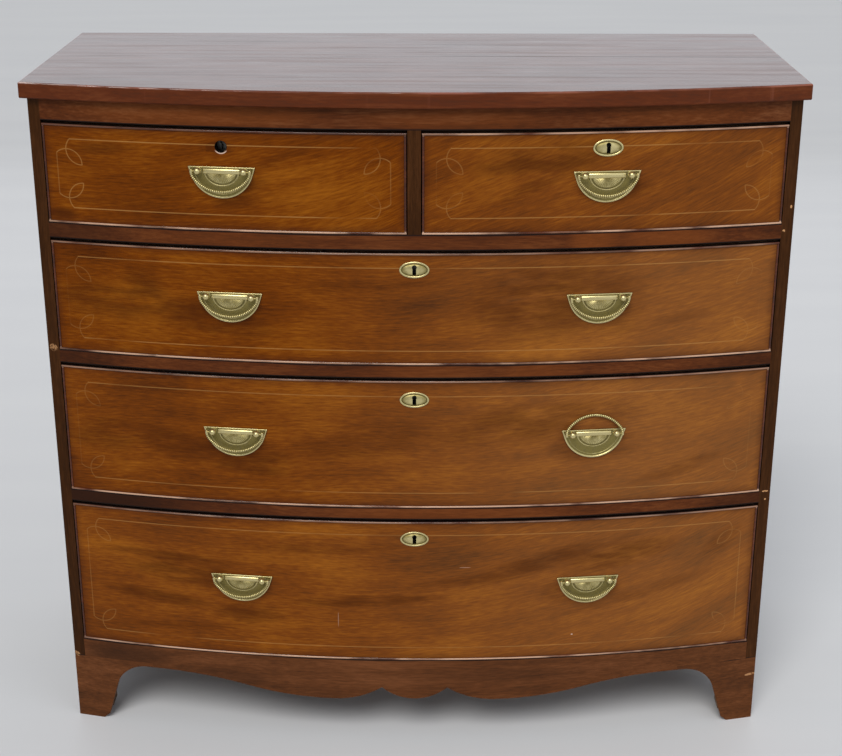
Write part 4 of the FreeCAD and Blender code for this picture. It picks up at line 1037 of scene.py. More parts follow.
@dataclass(frozen=True)
class Arch:
    """A drooping three centred arch: two shoulders and a wider crown below them."""

    half: float
    drop: float
    shoulder: float

    @property
    def across(self) -> float:
        """How far out the shoulders' centres lie."""
        return self.half - self.shoulder

    @property
    def crown(self) -> float:
        """The radius of the crown."""
        squares = self.across ** 2 + self.drop ** 2 - self.shoulder ** 2
        return squares / (2 * (self.drop - self.shoulder))

    @property
    def shoulder_turn(self) -> float:
        """The angle that a shoulder turns through."""
        return math.atan2(self.crown - self.drop, self.across)

    def arcs(self) -> List[Tuple[Vector, float, float]]:
        """The centre, radius and turn of each of the three arcs, from right to left."""
        side = self.shoulder_turn
        return [
            (Vector((self.across, 0, 0)), self.shoulder, side),
            (Vector((0, 0, self.crown - self.drop)), self.crown, math.pi - 2 * side),
            (Vector((-self.across, 0, 0)), self.shoulder, side),
        ]

    def length_at(self, x: float, z: float) -> Tuple[float, Vector]:
        """How far along the arch a point lies, and the nearest point of the arch."""
        arcs = self.arcs()
        middle = Vector((x, 0, z)) - arcs[1][0]
        side = self.shoulder_turn
        angle = math.atan2(-middle.z, middle.x)
        if angle < side:
            index = 0
        elif angle > math.pi - side:
            index = 2
        else:
            index = 1
        centre, radius, _ = arcs[index]
        start = (0.0, side, math.pi - side)[index]
        done = sum(arc[1] * arc[2] for arc in arcs[:index])
        out = Vector((x, 0, z)) - centre
        turned = math.atan2(-out.z, out.x) - start
        return done + turned * radius, centre + out.normalized() * radius

    def sweep(self, piece: Piece, parts: Sequence[Any], steps: Tuple[int, int]) -> List[Any]:
        """Sweep points or a ring of edges along the arch, from its right end to its left.

        Args:
            piece: The piece that is being made.
            parts: What is swept.
            steps: How many steps each shoulder and the crown are swept in.

        Returns:
            The last points or edges made.
        """
        counts = (steps[0], steps[1], steps[0])
        for (centre, radius, turn), count in zip(self.arcs(), counts):
            parts = piece.spin(parts, centre, Vector((0, 1, 0)), turn, count)
        return parts


# ---------------------------------------------------------------- brasses


@dataclass
class HalfMoonPlate:
    """A stamped half-moon plate: raised rim, level bar and a fluted fan between the posts."""

    half: float = 0.046
    top: float = 0.005
    drop: float = 0.038
    curve: float = 0.044
    thickness: float = 0.0012
    rim_height: float = 0.0010
    bar_length: float = 0.0512
    bar_radius: float = 0.0038
    bar_drop: float = 0.0013
    bar_flatness: float = 0.55
    fan_half: float = 0.0250
    fan_drop: float = 0.0206
    fan_height: float = 0.00072
    flute_height: float = 0.0004
    border: float = 0.93
    border_height: float = 0.0006
    groove: float = 0.85
    groove_depth: float = 0.0003
    flutes: int = 22
    steps: int = 56

    @property
    def centre(self) -> Vector:
        """The middle of the plate's curve."""
        return Vector((0, 0, self.curve - self.drop))

    @property
    def slant(self) -> float:
        """How far above level the curve meets each slanting end."""
        rise = self.top - self.centre.z
        return math.atan2(rise, self.half) - math.acos(self.curve / math.hypot(self.half, rise))

    def outline(self, piece: Piece) -> List[bmesh.types.BMEdge]:
        """The plate's edge: level top, slanting ends and a deep curve."""
        mesh = piece.mesh
        right = mesh.verts.new((self.half, 0, self.top))
        out = Vector((math.cos(self.slant), 0, math.sin(self.slant)))
        meet = mesh.verts.new(self.centre + out * self.curve)
        turn = math.pi + 2 * self.slant
        last = piece.spin([meet], self.centre, Vector((0, 1, 0)), turn, self.steps)
        end = next(item for item in last if isinstance(item, bmesh.types.BMVert))
        left = mesh.verts.new((-self.half, 0, self.top))
        for pair in ((right, meet), (end, left), (left, right)):
            mesh.edges.new(pair)
        return list(mesh.edges)

    def settle(self, spot: Vector, inset: float, sink: float, stand: float) -> Vector:
        """Where a point of the edge comes to lie on a line inside it.

        Args:
            spot: The point.
            inset: How far inside the ends and the curve the line runs.
            sink: How far below the top edge it runs.
            stand: How far in front of the plate's back it lies.

        Returns:
            The place.
        """
        radius = self.curve - inset
        if spot.z > 0:
            level = self.top - sink
            corner = radius - math.sin(self.slant) * (level - self.centre.z)
            return Vector((math.copysign(corner / math.cos(self.slant), spot.x), -stand, level))
        out = Vector((spot.x, 0, spot.z - self.centre.z)).normalized()
        return self.centre + out * radius + Vector((0, -stand, 0))

    def dish(self, piece: Piece) -> None:
        """Lay the plate out line by line, with its raised rim and hollow field."""
        field_level = self.thickness
        front = field_level + self.rim_height
        lines = (
            (0.0, 0.0, front - 0.0004),
            (0.0004, 0.0003, front - 0.0001),
            (0.0009, 0.0006, front),
            (0.0016, 0.0011, front),
            (0.0021, 0.0014, front - 0.0003),
            (0.0026, 0.0018, field_level + 0.0001),
            (0.0031, 0.0021, field_level),
            (0.0048, 0.0026, field_level),
            (0.0052, 0.0028, field_level + 0.0004),
            (0.0058, 0.0030, field_level + 0.0004),
            (0.0062, 0.0032, field_level),
        )
        edges = self.outline(piece)
        bmesh.ops.contextual_create(piece.mesh, geom=edges)
        for line in lines:
            edges = piece.grow(edges, lambda spot: self.settle(spot, *line))
        bmesh.ops.contextual_create(piece.mesh, geom=edges)
        piece.mark_polish(piece.mesh.verts, lambda co: min(1.0, 0.16 + 0.84 * (
            max(0.0, -co.y - self.thickness) / self.rim_height)))

    def bar(self, piece: Piece) -> None:
        """The half-round bar between the posts, with a fillet under it."""
        for radius, length, lift, polish in (
            (self.bar_radius, self.bar_length, -self.bar_drop, 0.98),
            (0.0008, self.bar_length * 0.98, -self.bar_drop - self.bar_radius * 1.1, -0.2),
        ):
            place = Matrix.Translation((0, -self.thickness, lift))
            place = place @ Matrix.Diagonal((1.0, self.bar_flatness, 1.0, 1.0))
            place = place @ Matrix.Rotation(math.pi / 2, 4, "Y")
            made = piece.rod(radius, length, 20, place)
            ends = {edge for edge in edges_at(made)
                    if abs(edge.verts[0].co.x - edge.verts[1].co.x) < 1e-6}
            piece.mark_polish(made, polish)
            piece.soften(ends, radius * 0.35)

    def fan(self, piece: Piece) -> None:
        """The low fan under the bar, fluted from its middle out, with a beaded border."""
        made = bmesh.ops.create_uvsphere(
            piece.mesh, u_segments=self.flutes * 8, v_segments=18, radius=1.0,
            matrix=Matrix.Rotation(math.pi / 2, 4, "X"),
        )["verts"]
        hidden = [vert for vert in made if vert.co.y > 0.02 or vert.co.z > 0.05]
        bmesh.ops.delete(piece.mesh, geom=hidden, context="VERTS")
        for vert in (item for item in made if item.is_valid):
            x, z = vert.co.x, vert.co.z
            reach = math.hypot(x, z)
            angle = math.atan2(-z, x)
            inside = min(1.0, reach / 0.2) if reach < self.groove + 0.01 else 0.0
            ridge = inside * (0.5 + 0.5 * math.cos(angle * self.flutes * 2))
            border = math.exp(-((reach - self.border) / 0.035) ** 2)
            groove = math.exp(-((reach - self.groove) / 0.03) ** 2)
            stand = self.thickness + self.fan_height * math.sqrt(max(0.0, 1.0 - reach ** 4))
            stand += self.flute_height * ridge + self.border_height * border
            stand -= self.groove_depth * groove
            vert.co = Vector((x * self.fan_half, -stand, z * self.fan_drop - self.bar_drop))
            vert[piece.polish] = 0.34 + 0.30 * ridge + 0.5 * border - 0.9 * groove

    def make(self) -> Piece:
        """The whole plate, in the handle's own frame."""
        piece = Piece()
        self.dish(piece)
        self.bar(piece)
        self.fan(piece)
        return piece


@dataclass
class TurnedPost:
    """A post: ball and collar in front, shank through the wood and a square nut behind it."""

    ball: float = 0.00475
    stand: float = 0.0085
    neck: float = 0.0024
    collar: float = 0.0050
    face: float = 0.0014
    shank: float = 0.0025
    inside: float = 0.0224
    nut: float = 0.0045
    nut_height: float = 0.003
    tip: float = 0.0015
    tip_rise: float = 0.0002

    def make(self) -> Piece:
        """The post and its nut, in the post's own frame."""
        piece = Piece()
        back = -(self.inside + self.nut_height + self.tip)
        profile = [
            (0.0, back), (self.shank, back + self.tip_rise), (self.shank, self.face),
            (self.collar, self.face), (self.collar, self.face + 0.0006),
            (self.collar * 0.84, self.face + 0.0011), (self.neck, self.face + 0.0015),
        ]
        start = math.asin(self.neck / self.ball)
        for step in range(13):
            angle = start + (math.pi - start) * step / 12
            profile.append((self.ball * math.sin(angle), self.stand - self.ball * math.cos(angle)))
        verts = piece.turned(profile, 28)
        piece.mark_polish(verts, lambda co: 0.95 if -co.y > self.stand - 0.003 else 0.35)
        place = Matrix.Translation((0, self.inside + self.nut_height / 2, 0))
        place = place @ Matrix.Rotation(math.pi / 2, 4, "X") @ Matrix.Rotation(math.pi / 4, 4, "Z")
        nut = piece.rod(self.nut * math.sqrt(2), self.nut_height, 4, place)
        piece.mark_polish(nut, 0.2)
        piece.soften(edges_at(nut), 0.0005)
        return piece


@dataclass
class BeadedBail:
    """A bail of beaded wire, with plain ears and pins turned in to its posts' balls."""

    arch: Arch = field(default_factory=lambda: Arch(0.0403, 0.028, 0.017))
    wire: float = 0.0021
    bead_pitch: float = 0.0027
    bead_depth: float = 0.22
    plain_end: float = 0.006
    ear: float = 0.0025
    pin: float = 0.0013
    pin_reach: float = 0.0093
    sides: int = 12

    def make(self) -> Piece:
        """The bail, hanging, with its pivots on its own X axis."""
        piece = Piece()
        ring = bmesh.ops.create_circle(
            piece.mesh, cap_ends=False, segments=self.sides, radius=self.wire,
            matrix=Matrix.Translation((self.arch.half, 0, 0)),
        )["verts"]
        first = sorted(edges_at(ring), key=lambda edge: edge.index)
        parts = list(ring) + first
        spacing = self.bead_pitch / 7
        steps = [round(radius * turn / spacing) for _, radius, turn in self.arch.arcs()]
        last = self.arch.sweep(piece, parts, (steps[0], steps[1]))
        self.bead(piece)
        for loop in (first, [item for item in last if isinstance(item, bmesh.types.BMEdge)]):
            self.ear_up(piece, loop)
        for hand in (-1, 1):
            place = Matrix.Translation((hand * (self.arch.half - self.pin_reach / 2), 0, 0))
            place = place @ Matrix.Rotation(math.pi / 2, 4, "Y")
            piece.mark_polish(piece.rod(self.pin, self.pin_reach, 14, place), 0.4)
        return piece

    def bead(self, piece: Piece) -> None:
        """Swell the wire into a row of beads, fading out towards its ears."""
        whole = sum(radius * turn for _, radius, turn in self.arch.arcs())
        for vert in piece.mesh.verts:
            along, near = self.arch.length_at(vert.co.x, vert.co.z)
            inside = min(1.0, max(0.0, min(along, whole - along) / self.plain_end))
            hollow = inside * (0.5 - 0.5 * math.cos(math.tau * along / self.bead_pitch))
            vert.co = near + (vert.co - near) * (1.0 - self.bead_depth * hollow)
            vert[piece.polish] = 1.0 - 0.9 * hollow

    def ear_up(self, piece: Piece, loop: Sequence[bmesh.types.BMEdge]) -> None:
        """Carry an end of the wire up past its pivot and round it off."""
        for lift, scale in ((self.ear * 0.7, 1.0), (self.ear * 0.24, 0.8), (0.0001, 0.35)):
            made = bmesh.ops.extrude_edge_only(piece.mesh, edges=list(loop))["geom"]
            loop = [item for item in made if isinstance(item, bmesh.types.BMEdge)
                    and item.is_boundary]
            ends = points_of(loop)
            middle = sum((vert.co for vert in ends), Vector()) / len(ends)
            for vert in ends:
                vert.co = middle + (vert.co - middle) * scale + Vector((0, 0, lift))
                vert[piece.polish] = 0.85
        bmesh.ops.contextual_create(piece.mesh, geom=list(loop))


@dataclass
class OvalEscutcheon:
    """An oval keyhole plate: raised rim, low dome and a pierced keyhole."""

    half_width: float = 0.0205
    half_height: float = 0.0116
    rim_width: float = 0.0026
    rim_height: float = 0.0012
    field: float = 0.0004
    dome: float = 0.0025
    dome_steps: int = 7
    barrel: float = 0.0033
    bit: float = 0.0026
    bit_drop: float = 0.0113
    segments: int = 72

    def keyhole(self, piece: Piece) -> List[bmesh.types.BMEdge]:
        """The keyhole's edge, centred on the plate."""
        mesh = piece.mesh
        before = set(mesh.edges)
        rise = (self.bit_drop - self.barrel) / 2
        meet = math.sqrt(self.barrel ** 2 - self.bit ** 2)
        start = mesh.verts.new((self.bit, 0, rise - meet))
        sweep = math.tau - 2 * math.asin(self.bit / self.barrel)
        last = piece.spin([start], Vector((0, 0, rise)), Vector((0, -1, 0)), sweep, 36)
        end = next(item for item in last if isinstance(item, bmesh.types.BMVert))
        low = rise - self.bit_drop
        left = mesh.verts.new((-self.bit, 0, low))
        right = mesh.verts.new((self.bit, 0, low))
        sides = [mesh.edges.new((end, left)), mesh.edges.new((right, start))]
        foot = mesh.edges.new((left, right))
        bmesh.ops.subdivide_edges(mesh, edges=sides, cuts=13)
        bmesh.ops.subdivide_edges(mesh, edges=[foot], cuts=5)
        return [edge for edge in mesh.edges if edge not in before]

    def oval(self, piece: Piece) -> List[bmesh.types.BMEdge]:
        """The plate's oval edge."""
        flat = Matrix.Diagonal((self.half_width, self.half_height, 1.0, 1.0))
        made = bmesh.ops.create_circle(
            piece.mesh, cap_ends=False, segments=self.segments, radius=1.0,
            matrix=Matrix.Rotation(math.pi / 2, 4, "X") @ flat,
        )["verts"]
        return list(edges_at(made))

    def make(self) -> Piece:
        """The escutcheon, in its own frame."""
        piece = Piece()
        mesh = piece.mesh
        lines = (
            (0.0, self.rim_height * 0.6, 0.9),
            (self.rim_width * 0.20, self.rim_height * 0.9, 1.0),
            (self.rim_width * 0.45, self.rim_height, 1.0),
            (self.rim_width * 0.75, self.rim_height * 0.8, 1.0),
            (self.rim_width, self.field, -0.3),
            (self.rim_width * 1.3, self.field, -0.3),
        )
        edges = self.oval(piece)
        wide, tall = self.half_width, self.half_height
        for inset, stand, polish in lines:
            width, height = self.half_width - inset, self.half_height - inset
            spread, lift = width / wide, height / tall
            edges = piece.grow(edges, lambda co: Vector((co.x * spread, -stand, co.z * lift)))
            piece.mark_polish(points_of(edges), polish)
            wide, tall = width, height
        clear = (self.bit_drop + self.barrel) / 2 + 0.0005
        spread, lift = 1.0, 1.0
        for step in range(1, self.dome_steps + 1):
            share = math.cos(step / self.dome_steps * math.radians(72.0))
            squeeze = share / spread
            droop = (clear / tall + (1.0 - clear / tall) * share) / lift
            edges = piece.grow(edges, lambda co: Vector((co.x * squeeze, co.y, co.z * droop)))
            spread, lift = spread * squeeze, lift * droop
        hole = self.keyhole(piece)
        for vert in mesh.verts:
            rise = 1.0 - (vert.co.x / wide) ** 2 - (vert.co.z / tall) ** 2
            if rise > 1e-4:
                vert.co.y = -self.field - self.dome * math.sqrt(rise)
                vert[piece.polish] = 0.25 + 0.65 * rise
        bmesh.ops.bridge_loops(mesh, edges=edges + hole)
        piece.grow(hole, lambda co: Vector((co.x, 0, co.z)))
        return piece


@dataclass
class CockBeads:
    """The cock beads let in round a drawer front: four strips with rounded noses."""

    front: DrawerFront
    thickness: float = 0.003
    inside: float = 0.0059
    stand: float = 0.0016
    nose: float = 0.0011
    cuts: int = 63

    def strip(self, left: float, right: float, low: float, high: float) -> Piece:
        """One strip, bent to the bowed front.

        Args:
            left: Its left end.
            right: Its right end.
            low: Its underside.
            high: Its upper side.

        Returns:
            The strip.
        """
        piece = Piece()
        mesh = piece.mesh
        middle = Vector(((left + right) / 2, (self.inside - self.stand) / 2, (low + high) / 2))
        size = Matrix.Diagonal((right - left, self.inside + self.stand, high - low, 1.0))
        bmesh.ops.create_cube(mesh, size=1.0, matrix=Matrix.Translation(middle) @ size)
        axis = 0 if right - left > high - low else 2

        def lengthwise() -> List[bmesh.types.BMEdge]:
            """The edges that run from one end to the other."""
            return [edge for edge in mesh.edges
                    if abs(edge.verts[0].co[axis] - edge.verts[1].co[axis]) > self.thickness * 2]

        piece.soften([edge for edge in lengthwise() if edge.verts[0].co.y < 0], self.nose, 4)
        if axis == 0:
            bmesh.ops.subdivide_edges(mesh, edges=lengthwise(), cuts=self.cuts)
        for vert in mesh.verts:
            vert.co.y += BOW.face(vert.co.x)
        return piece

    def build(self, wood: bpy.types.Material) -> None:
        """Make the four strips of a drawer.

        Args:
            wood: Their material.
        """
        front = self.front
        in_x, out_x = front.low_x + self.thickness, front.high_x - self.thickness
        in_z, out_z = front.low_z + self.thickness, front.high_z - self.thickness
        whole = Piece()
        for sides in (
            (front.low_x, front.high_x, front.low_z, in_z),
            (front.low_x, front.high_x, out_z, front.high_z),
            (front.low_x, in_x, in_z, out_z),
            (out_x, front.high_x, in_z, out_z),
        ):
            whole.add(self.strip(*sides), Matrix.Identity(4))
        made = whole.finish(f"{front.drawer}_beads", front.drawer, "drawer_front", wood)
        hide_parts(f"{front.drawer}_cock_beads")


class BailState(Enum):
    """How a bail is kept at rest."""

    HANGING = 0.0
    RAISED = -193.0


@dataclass
class DrawerBrass:
    """All the brass of one drawer: handles, bails and the keyhole plate."""

    front: DrawerFront
    has_escutcheon: bool = True
    raised: Tuple[bool, ...] = (False, False)
    bed: float = 0.0002
    post_spacing: float = 0.0635
    pivot: float = 0.0085

    def bail_name(self, index: int) -> str:
        """The name of a handle's bail."""
        if len(self.front.handles) == 1:
            return f"{self.front.drawer}_bail"
        return f"{self.front.drawer}_{('left', 'right')[index]}_bail"

    def fixed(self) -> Piece:
        """The plates, posts, nuts and keyhole plate in one piece."""
        whole = Piece()
        front = self.front
        for x in front.handles:
            whole.add(HalfMoonPlate().make(), BOW.frame(x, front.handle_z, self.bed))
            square = BOW.frame(x, front.handle_z)
            for hand in (-1, 1):
                offset = Matrix.Translation((hand * self.post_spacing / 2, 0, 0))
                whole.add(TurnedPost().make(), square @ offset)
        if self.has_escutcheon:
            whole.add(OvalEscutcheon().make(), BOW.frame(front.middle, front.key_z, self.bed))
        return whole

    def build(self, brass: bpy.types.Material) -> None:
        """Make the drawer's brasses and its bails.

        Args:
            brass: The material that they share.
        """
        drawer = self.front.drawer
        made = self.fixed().finish(f"{drawer}_fittings", drawer, "brass", brass)
        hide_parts(f"{drawer}_brasses")
        for index, x in enumerate(self.front.handles):
            name = self.bail_name(index)
            state = BailState.RAISED if self.raised[index] else BailState.HANGING
            turn = Matrix.Rotation(math.radians(state.value), 4, "X")
            place = BOW.frame(x, self.front.handle_z, self.pivot) @ turn
            wire = BeadedBail().make().finish(f"{name}_wire", name, "brass", brass, place)
            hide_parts(name)


@dataclass
class LockScrews:
    """The four screws that hold a lock's case to the back of a drawer front."""

    front: DrawerFront
    half_width: float = 0.023
    inset: float = 0.006
    back: float = 0.022
    radius: float = 0.0031

    def build(self, iron: bpy.types.Material) -> None:
        """Make the screws.

        Args:
            iron: Their material.
        """
        piece = Piece()
        front = self.front
        square = BOW.frame(front.middle, front.high_z)
        profile = [(self.radius, 0.0), (self.radius, 0.0004), (self.radius * 0.85, 0.0007),
                   (0.0, 0.0008)]
        for x in (-self.half_width, self.half_width):
            for low in (self.inset, front.lock_height - self.inset):
                screw = Piece()
                screw.turned(profile, 20)
                spot = Matrix.Translation((x, self.back, -low))
                piece.add(screw, square @ spot @ BACKWARDS)
        piece.finish(f"{front.drawer}_lock_screws", front.drawer, "steel", iron)


@dataclass
class BackNails:
    """Rose-headed nails that hold the back boards."""

    half_width: float = 0.5125
    back_y: float = 0.2355
    boards: int = 5
    heights: Tuple[float, ...] = (0.130, 0.955)
    radius: float = 0.0035

    def places(self) -> List[Tuple[float, float]]:
        """Where the nails are driven."""
        pitch = 2 * self.half_width / self.boards
        found = []
        for board in range(self.boards):
            middle = -self.half_width + pitch * (board + 0.5)
            for offset in (-0.32, 0.32):
                found += [(middle + offset * pitch, height) for height in self.heights]
        for height in (0.30, 0.47, 0.64, 0.81):
            found += [(-self.half_width, height), (self.half_width, height)]
        return found

    def build(self, iron: bpy.types.Material) -> None:
        """Make the nails.

        Args:
            iron: Their material.
        """
        piece = Piece()
        for x, z in self.places():
            head = Piece()
            head.turned([(self.radius, 0.0), (self.radius * 0.8, 0.0005), (0.0, 0.0008)], 8)
            piece.add(head, Matrix.Translation((x, self.back_y, z)) @ BACKWARDS)
        piece.finish("back_board_nails", "case", "steel", iron)


# ---------------------------------------------------------------- timbers of the chest


class Shades:
    """The chest's wood colours, from the deepest polish to bare wood."""

    FRONT_DARK: Colour = (0.052, 0.0110, 0.0008)
    FRONT: Colour = (0.160, 0.0370, 0.0008)
    FRONT_LIGHT: Colour = (0.285, 0.0860, 0.0040)
    # The rail shades' blue is raised a little as a painted reflection of the pale floor.
    RAIL_DARK: Colour = (0.024, 0.0085, 0.0040)
    RAIL: Colour = (0.092, 0.0240, 0.0062)
    RAIL_LIGHT: Colour = (0.165, 0.0500, 0.0130)
    STILE_DARK: Colour = (0.015, 0.0055, 0.0015)
    STILE: Colour = (0.042, 0.0140, 0.0030)
    STILE_LIGHT: Colour = (0.082, 0.0290, 0.0080)
    BASE_DARK: Colour = (0.036, 0.0140, 0.0060)
    BASE: Colour = (0.105, 0.0350, 0.0110)
    BASE_LIGHT: Colour = (0.175, 0.0620, 0.0220)
    BEAD: Colour = (0.065, 0.0140, 0.0040)
    BEAD_LIGHT: Colour = (0.120, 0.0300, 0.0090)
    TOP_DARK: Colour = (0.050, 0.0130, 0.0030)
    TOP: Colour = (0.096, 0.0175, 0.0010)
    TOP_LIGHT: Colour = (0.150, 0.0380, 0.0080)
    DEAL_DARK: Colour = (0.16, 0.090, 0.045)
    DEAL: Colour = (0.33, 0.205, 0.105)
    DEAL_LIGHT: Colour = (0.45, 0.30, 0.165)
    BACK_DARK: Colour = (0.065, 0.038, 0.022)
    BACK: Colour = (0.15, 0.090, 0.050)
    BACK_LIGHT: Colour = (0.23, 0.145, 0.080)


@dataclass
class DrawerWood:
    """The wood of one drawer and the marks on its front."""

    front: DrawerFront
    inlay: Stringing
    slope: float = 0.0
    curl: float = 0.5
    curl_from: float = -0.05
    seed: float = 0.0
    # lightening that is partly fading and partly painted sheen
    fade_and_sheen: float = 0.0
    fade_and_sheen_right: float = 0.6
    wear_and_highlight_high: float = 0.4
    stains: Tuple[Patch, ...] = ()
    pale_and_lit_spots: Tuple[Union[Patch, Crescent], ...] = ()

    def build(self, deal: bpy.types.Material, floor: bpy.types.Material) -> None:
        """Dress the drawer's own boards.

        Args:
            deal: The material of its sides and back.
            floor: The material of its bottom.
        """
        drawer = self.front.drawer
        veneer = Veneer(
            f"{drawer}_veneer", Shades.FRONT_DARK, Shades.FRONT, Shades.FRONT_LIGHT,
            streak=0.026, stretch=9.0, seed=self.seed, figure=0.46, fibre=0.34, flecks=0.60,
            clouds=1.0, roughness=0.38, gloss=0.045, coat=0.02, front=self.front,
            inlay=self.inlay, slope=self.slope, curl=self.curl, curl_from=self.curl_from,
            stains=self.stains, pale_and_lit_spots=self.pale_and_lit_spots, fade_and_sheen=self.fade_and_sheen,
            fade_and_sheen_right=self.fade_and_sheen_right,
        ).make()
        beads = BeadWood(
            f"{drawer}_bead_wood", Shades.RAIL_DARK, Shades.BEAD, Shades.BEAD_LIGHT,
            seed=self.seed, roughness=0.26, gloss=0.05, coat=0.6, front=self.front,
            wear_and_highlight_high=self.wear_and_highlight_high,
        ).make()
        dress(f"{drawer}_front", veneer)
        CockBeads(self.front).build(beads)
        dress(f"{drawer}_box", deal)
        dress(f"{drawer}_bottom", floor)


def dress(node: str, material: bpy.types.Material) -> None:
    """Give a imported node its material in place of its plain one.

    Args:
        node: The node's name.
        material: The material.
    """
    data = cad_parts[node].data
    data.materials.clear()
    data.materials.append(material)
    LOG.info("%s is dressed in %s", node, material.name)


@dataclass
class CaseWood:
    """The wood of everything that doesn't move."""

    rail_patches: Tuple[Patch, ...] = (
        Patch(0.245, 0.787, 0.085, 0.060, strength=0.42),
        Patch(0.345, 0.787, 0.160, 0.070, strength=0.4),
        Patch(0.178, 0.595, 0.140, 0.070, strength=0.26),
        Patch(-0.250, 0.787, 0.30, 0.030, strength=0.2),
        Patch(0.020, 0.600, 0.22, 0.030, strength=0.2),
        Patch(0.05, 0.380, 0.45, 0.030, strength=0.25),
    )
    frieze_patches: Tuple[Patch, ...] = (
        Patch(-0.30, 0.958, 0.42, 0.050, strength=0.35),
        Patch(0.05, 0.955, 0.30, 0.040, strength=0.2),
        Patch(0.36, 0.957, 0.28, 0.045, strength=0.2),
    )
    rail_stains: Tuple[Patch, ...] = (
        Patch(-0.530, 0.787, 0.34, 0.080, strength=0.75),
        Patch(0.520, 0.790, 0.14, 0.060, strength=0.4),
        Patch(-0.540, 0.600, 0.34, 0.080, strength=0.6),
        Patch(0.530, 0.600, 0.30, 0.070, strength=0.5),
        Patch(-0.540, 0.380, 0.60, 0.090, strength=1.2),
        Patch(0.540, 0.380, 0.30, 0.070, strength=0.8),
    )
    skirt_stains: Tuple[Patch, ...] = (
        Patch(-0.440, 0.120, 0.19, 0.050, strength=0.9),
        Patch(-0.280, 0.098, 0.16, 0.030, -4, 0.6),
        Patch(-0.120, 0.070, 0.14, 0.034, -6, 0.4),
        Patch(0.150, 0.110, 0.30, 0.030, strength=0.3),
    )
    chips: Tuple[Patch, ...] = (
        Patch(-0.517, 0.611, 0.011, 0.013, 60, 0.6, True),
        Patch(-0.521, 0.109, 0.007, 0.011, 50, 0.6, True),
        Patch(0.517, 0.078, 0.018, 0.004, 8, 0.7, True),
        Patch(0.517, 0.389, 0.010, 0.003, hard=True),
        Patch(0.518, 0.376, 0.003, 0.003, hard=True),
        Patch(0.520, 0.821, 0.003, 0.005, hard=True),
        Patch(0.512, 0.787, 0.004, 0.004, hard=True),
    )
    cracks: Tuple[Patch, ...] = (
        Patch(-0.515, 0.107, 0.022, 0.0015, hard=True),
        Patch(0.500, 0.107, 0.060, 0.0015, 2, hard=True),
    )

    def facing(self, name: str, shades: Tuple[Colour, Colour, Colour], grain: Grain,
               seed: float, **marks: Any) -> bpy.types.Material:
        """A polished facing in three shades."""
        return Facing(name, *shades, grain=grain, seed=seed, streak=0.016, stretch=16.0,
                      figure=0.65, fibre=0.4, flecks=0.45, chips=self.chips, roughness=0.40,
                      gloss=0.05, coat=0.03, **marks).make()

    def build(self) -> None:
        """Dress every board of the case."""
        rail = (Shades.RAIL_DARK, Shades.RAIL, Shades.RAIL_LIGHT)
        stile = (Shades.STILE_DARK, Shades.STILE, Shades.STILE_LIGHT)
        base = (Shades.BASE_DARK, Shades.BASE, Shades.BASE_LIGHT)
        # the eave and sill levels carry painted shade lines
        rails = self.facing("rail_wood", rail, Grain.ACROSS, 2.0, patches=self.rail_patches,
                            stains=self.rail_stains, eaves=(0.371, 0.5895, 0.775),
                            sills=(0.390, 0.6095, 0.7975))
        frieze = self.facing("frieze_wood", (Shades.RAIL_DARK, Shades.RAIL, Shades.BASE_LIGHT),
                             Grain.ACROSS, 5.0, patches=self.frieze_patches, eaves=(0.940,))
        sides = self.facing("side_wood", stile, Grain.UPRIGHT, 3.0, cracks=self.cracks)
        bases = self.facing("base_wood", base, Grain.ACROSS, 8.0, cracks=self.cracks)
        skirt = self.facing("skirt_wood", base, Grain.ACROSS, 11.0, stains=self.skirt_stains,
                            sills=(0.1385,))
        top = TopWood("top_wood", Shades.TOP_DARK, Shades.TOP, Shades.TOP_LIGHT,
                      grain=Grain.ACROSS, streak=0.020, stretch=18.0, seed=6.0, figure=0.9,
                      fibre=0.4, roughness=0.34, gloss=0.15, coat=0.85,
                      bump_depth=0.00012).make()
        deal_up = BackWood("back_deal", Shades.BACK_DARK, Shades.BACK, Shades.BACK_LIGHT,
                         Grain.UPRIGHT, streak=0.010, stretch=30.0, seed=1.0, roughness=0.75,
                         coat=0.0, bump_depth=0.0006).make()
        deal_deep = Timber("runner_deal", Shades.DEAL_DARK, Shades.DEAL, Shades.DEAL_LIGHT,
                           Grain.DEEP, streak=0.010, stretch=26.0, seed=4.0, roughness=0.70,
                           coat=0.0, bump_depth=0.0005).make()
        deal_across = Timber("bottom_deal", Shades.BACK_DARK, Shades.BACK, Shades.DEAL,
                             Grain.ACROSS, streak=0.012, stretch=26.0, seed=9.0,
                             roughness=0.72, coat=0.0, bump_depth=0.0005).make()
        for wood, nodes in (
            (rails, ("upper_rail", "middle_rail", "lower_rail")),
            (skirt, ("bottom_rail", "apron")),
            (frieze, ("frieze_rail",)),
            (sides, ("left_side", "right_side", "drawer_partition")),
            (bases, ("front_feet", "base_sides")),
            (top, ("top_board",)),
            (deal_up, ("back_boards",)),
            (deal_deep, ("drawer_runners",)),
            (deal_across, ("bottom_board", "rear_feet", "stops_and_glue_blocks")),
        ):
            for node in nodes:
                dress(node, wood)


# ---------------------------------------------------------------- studio


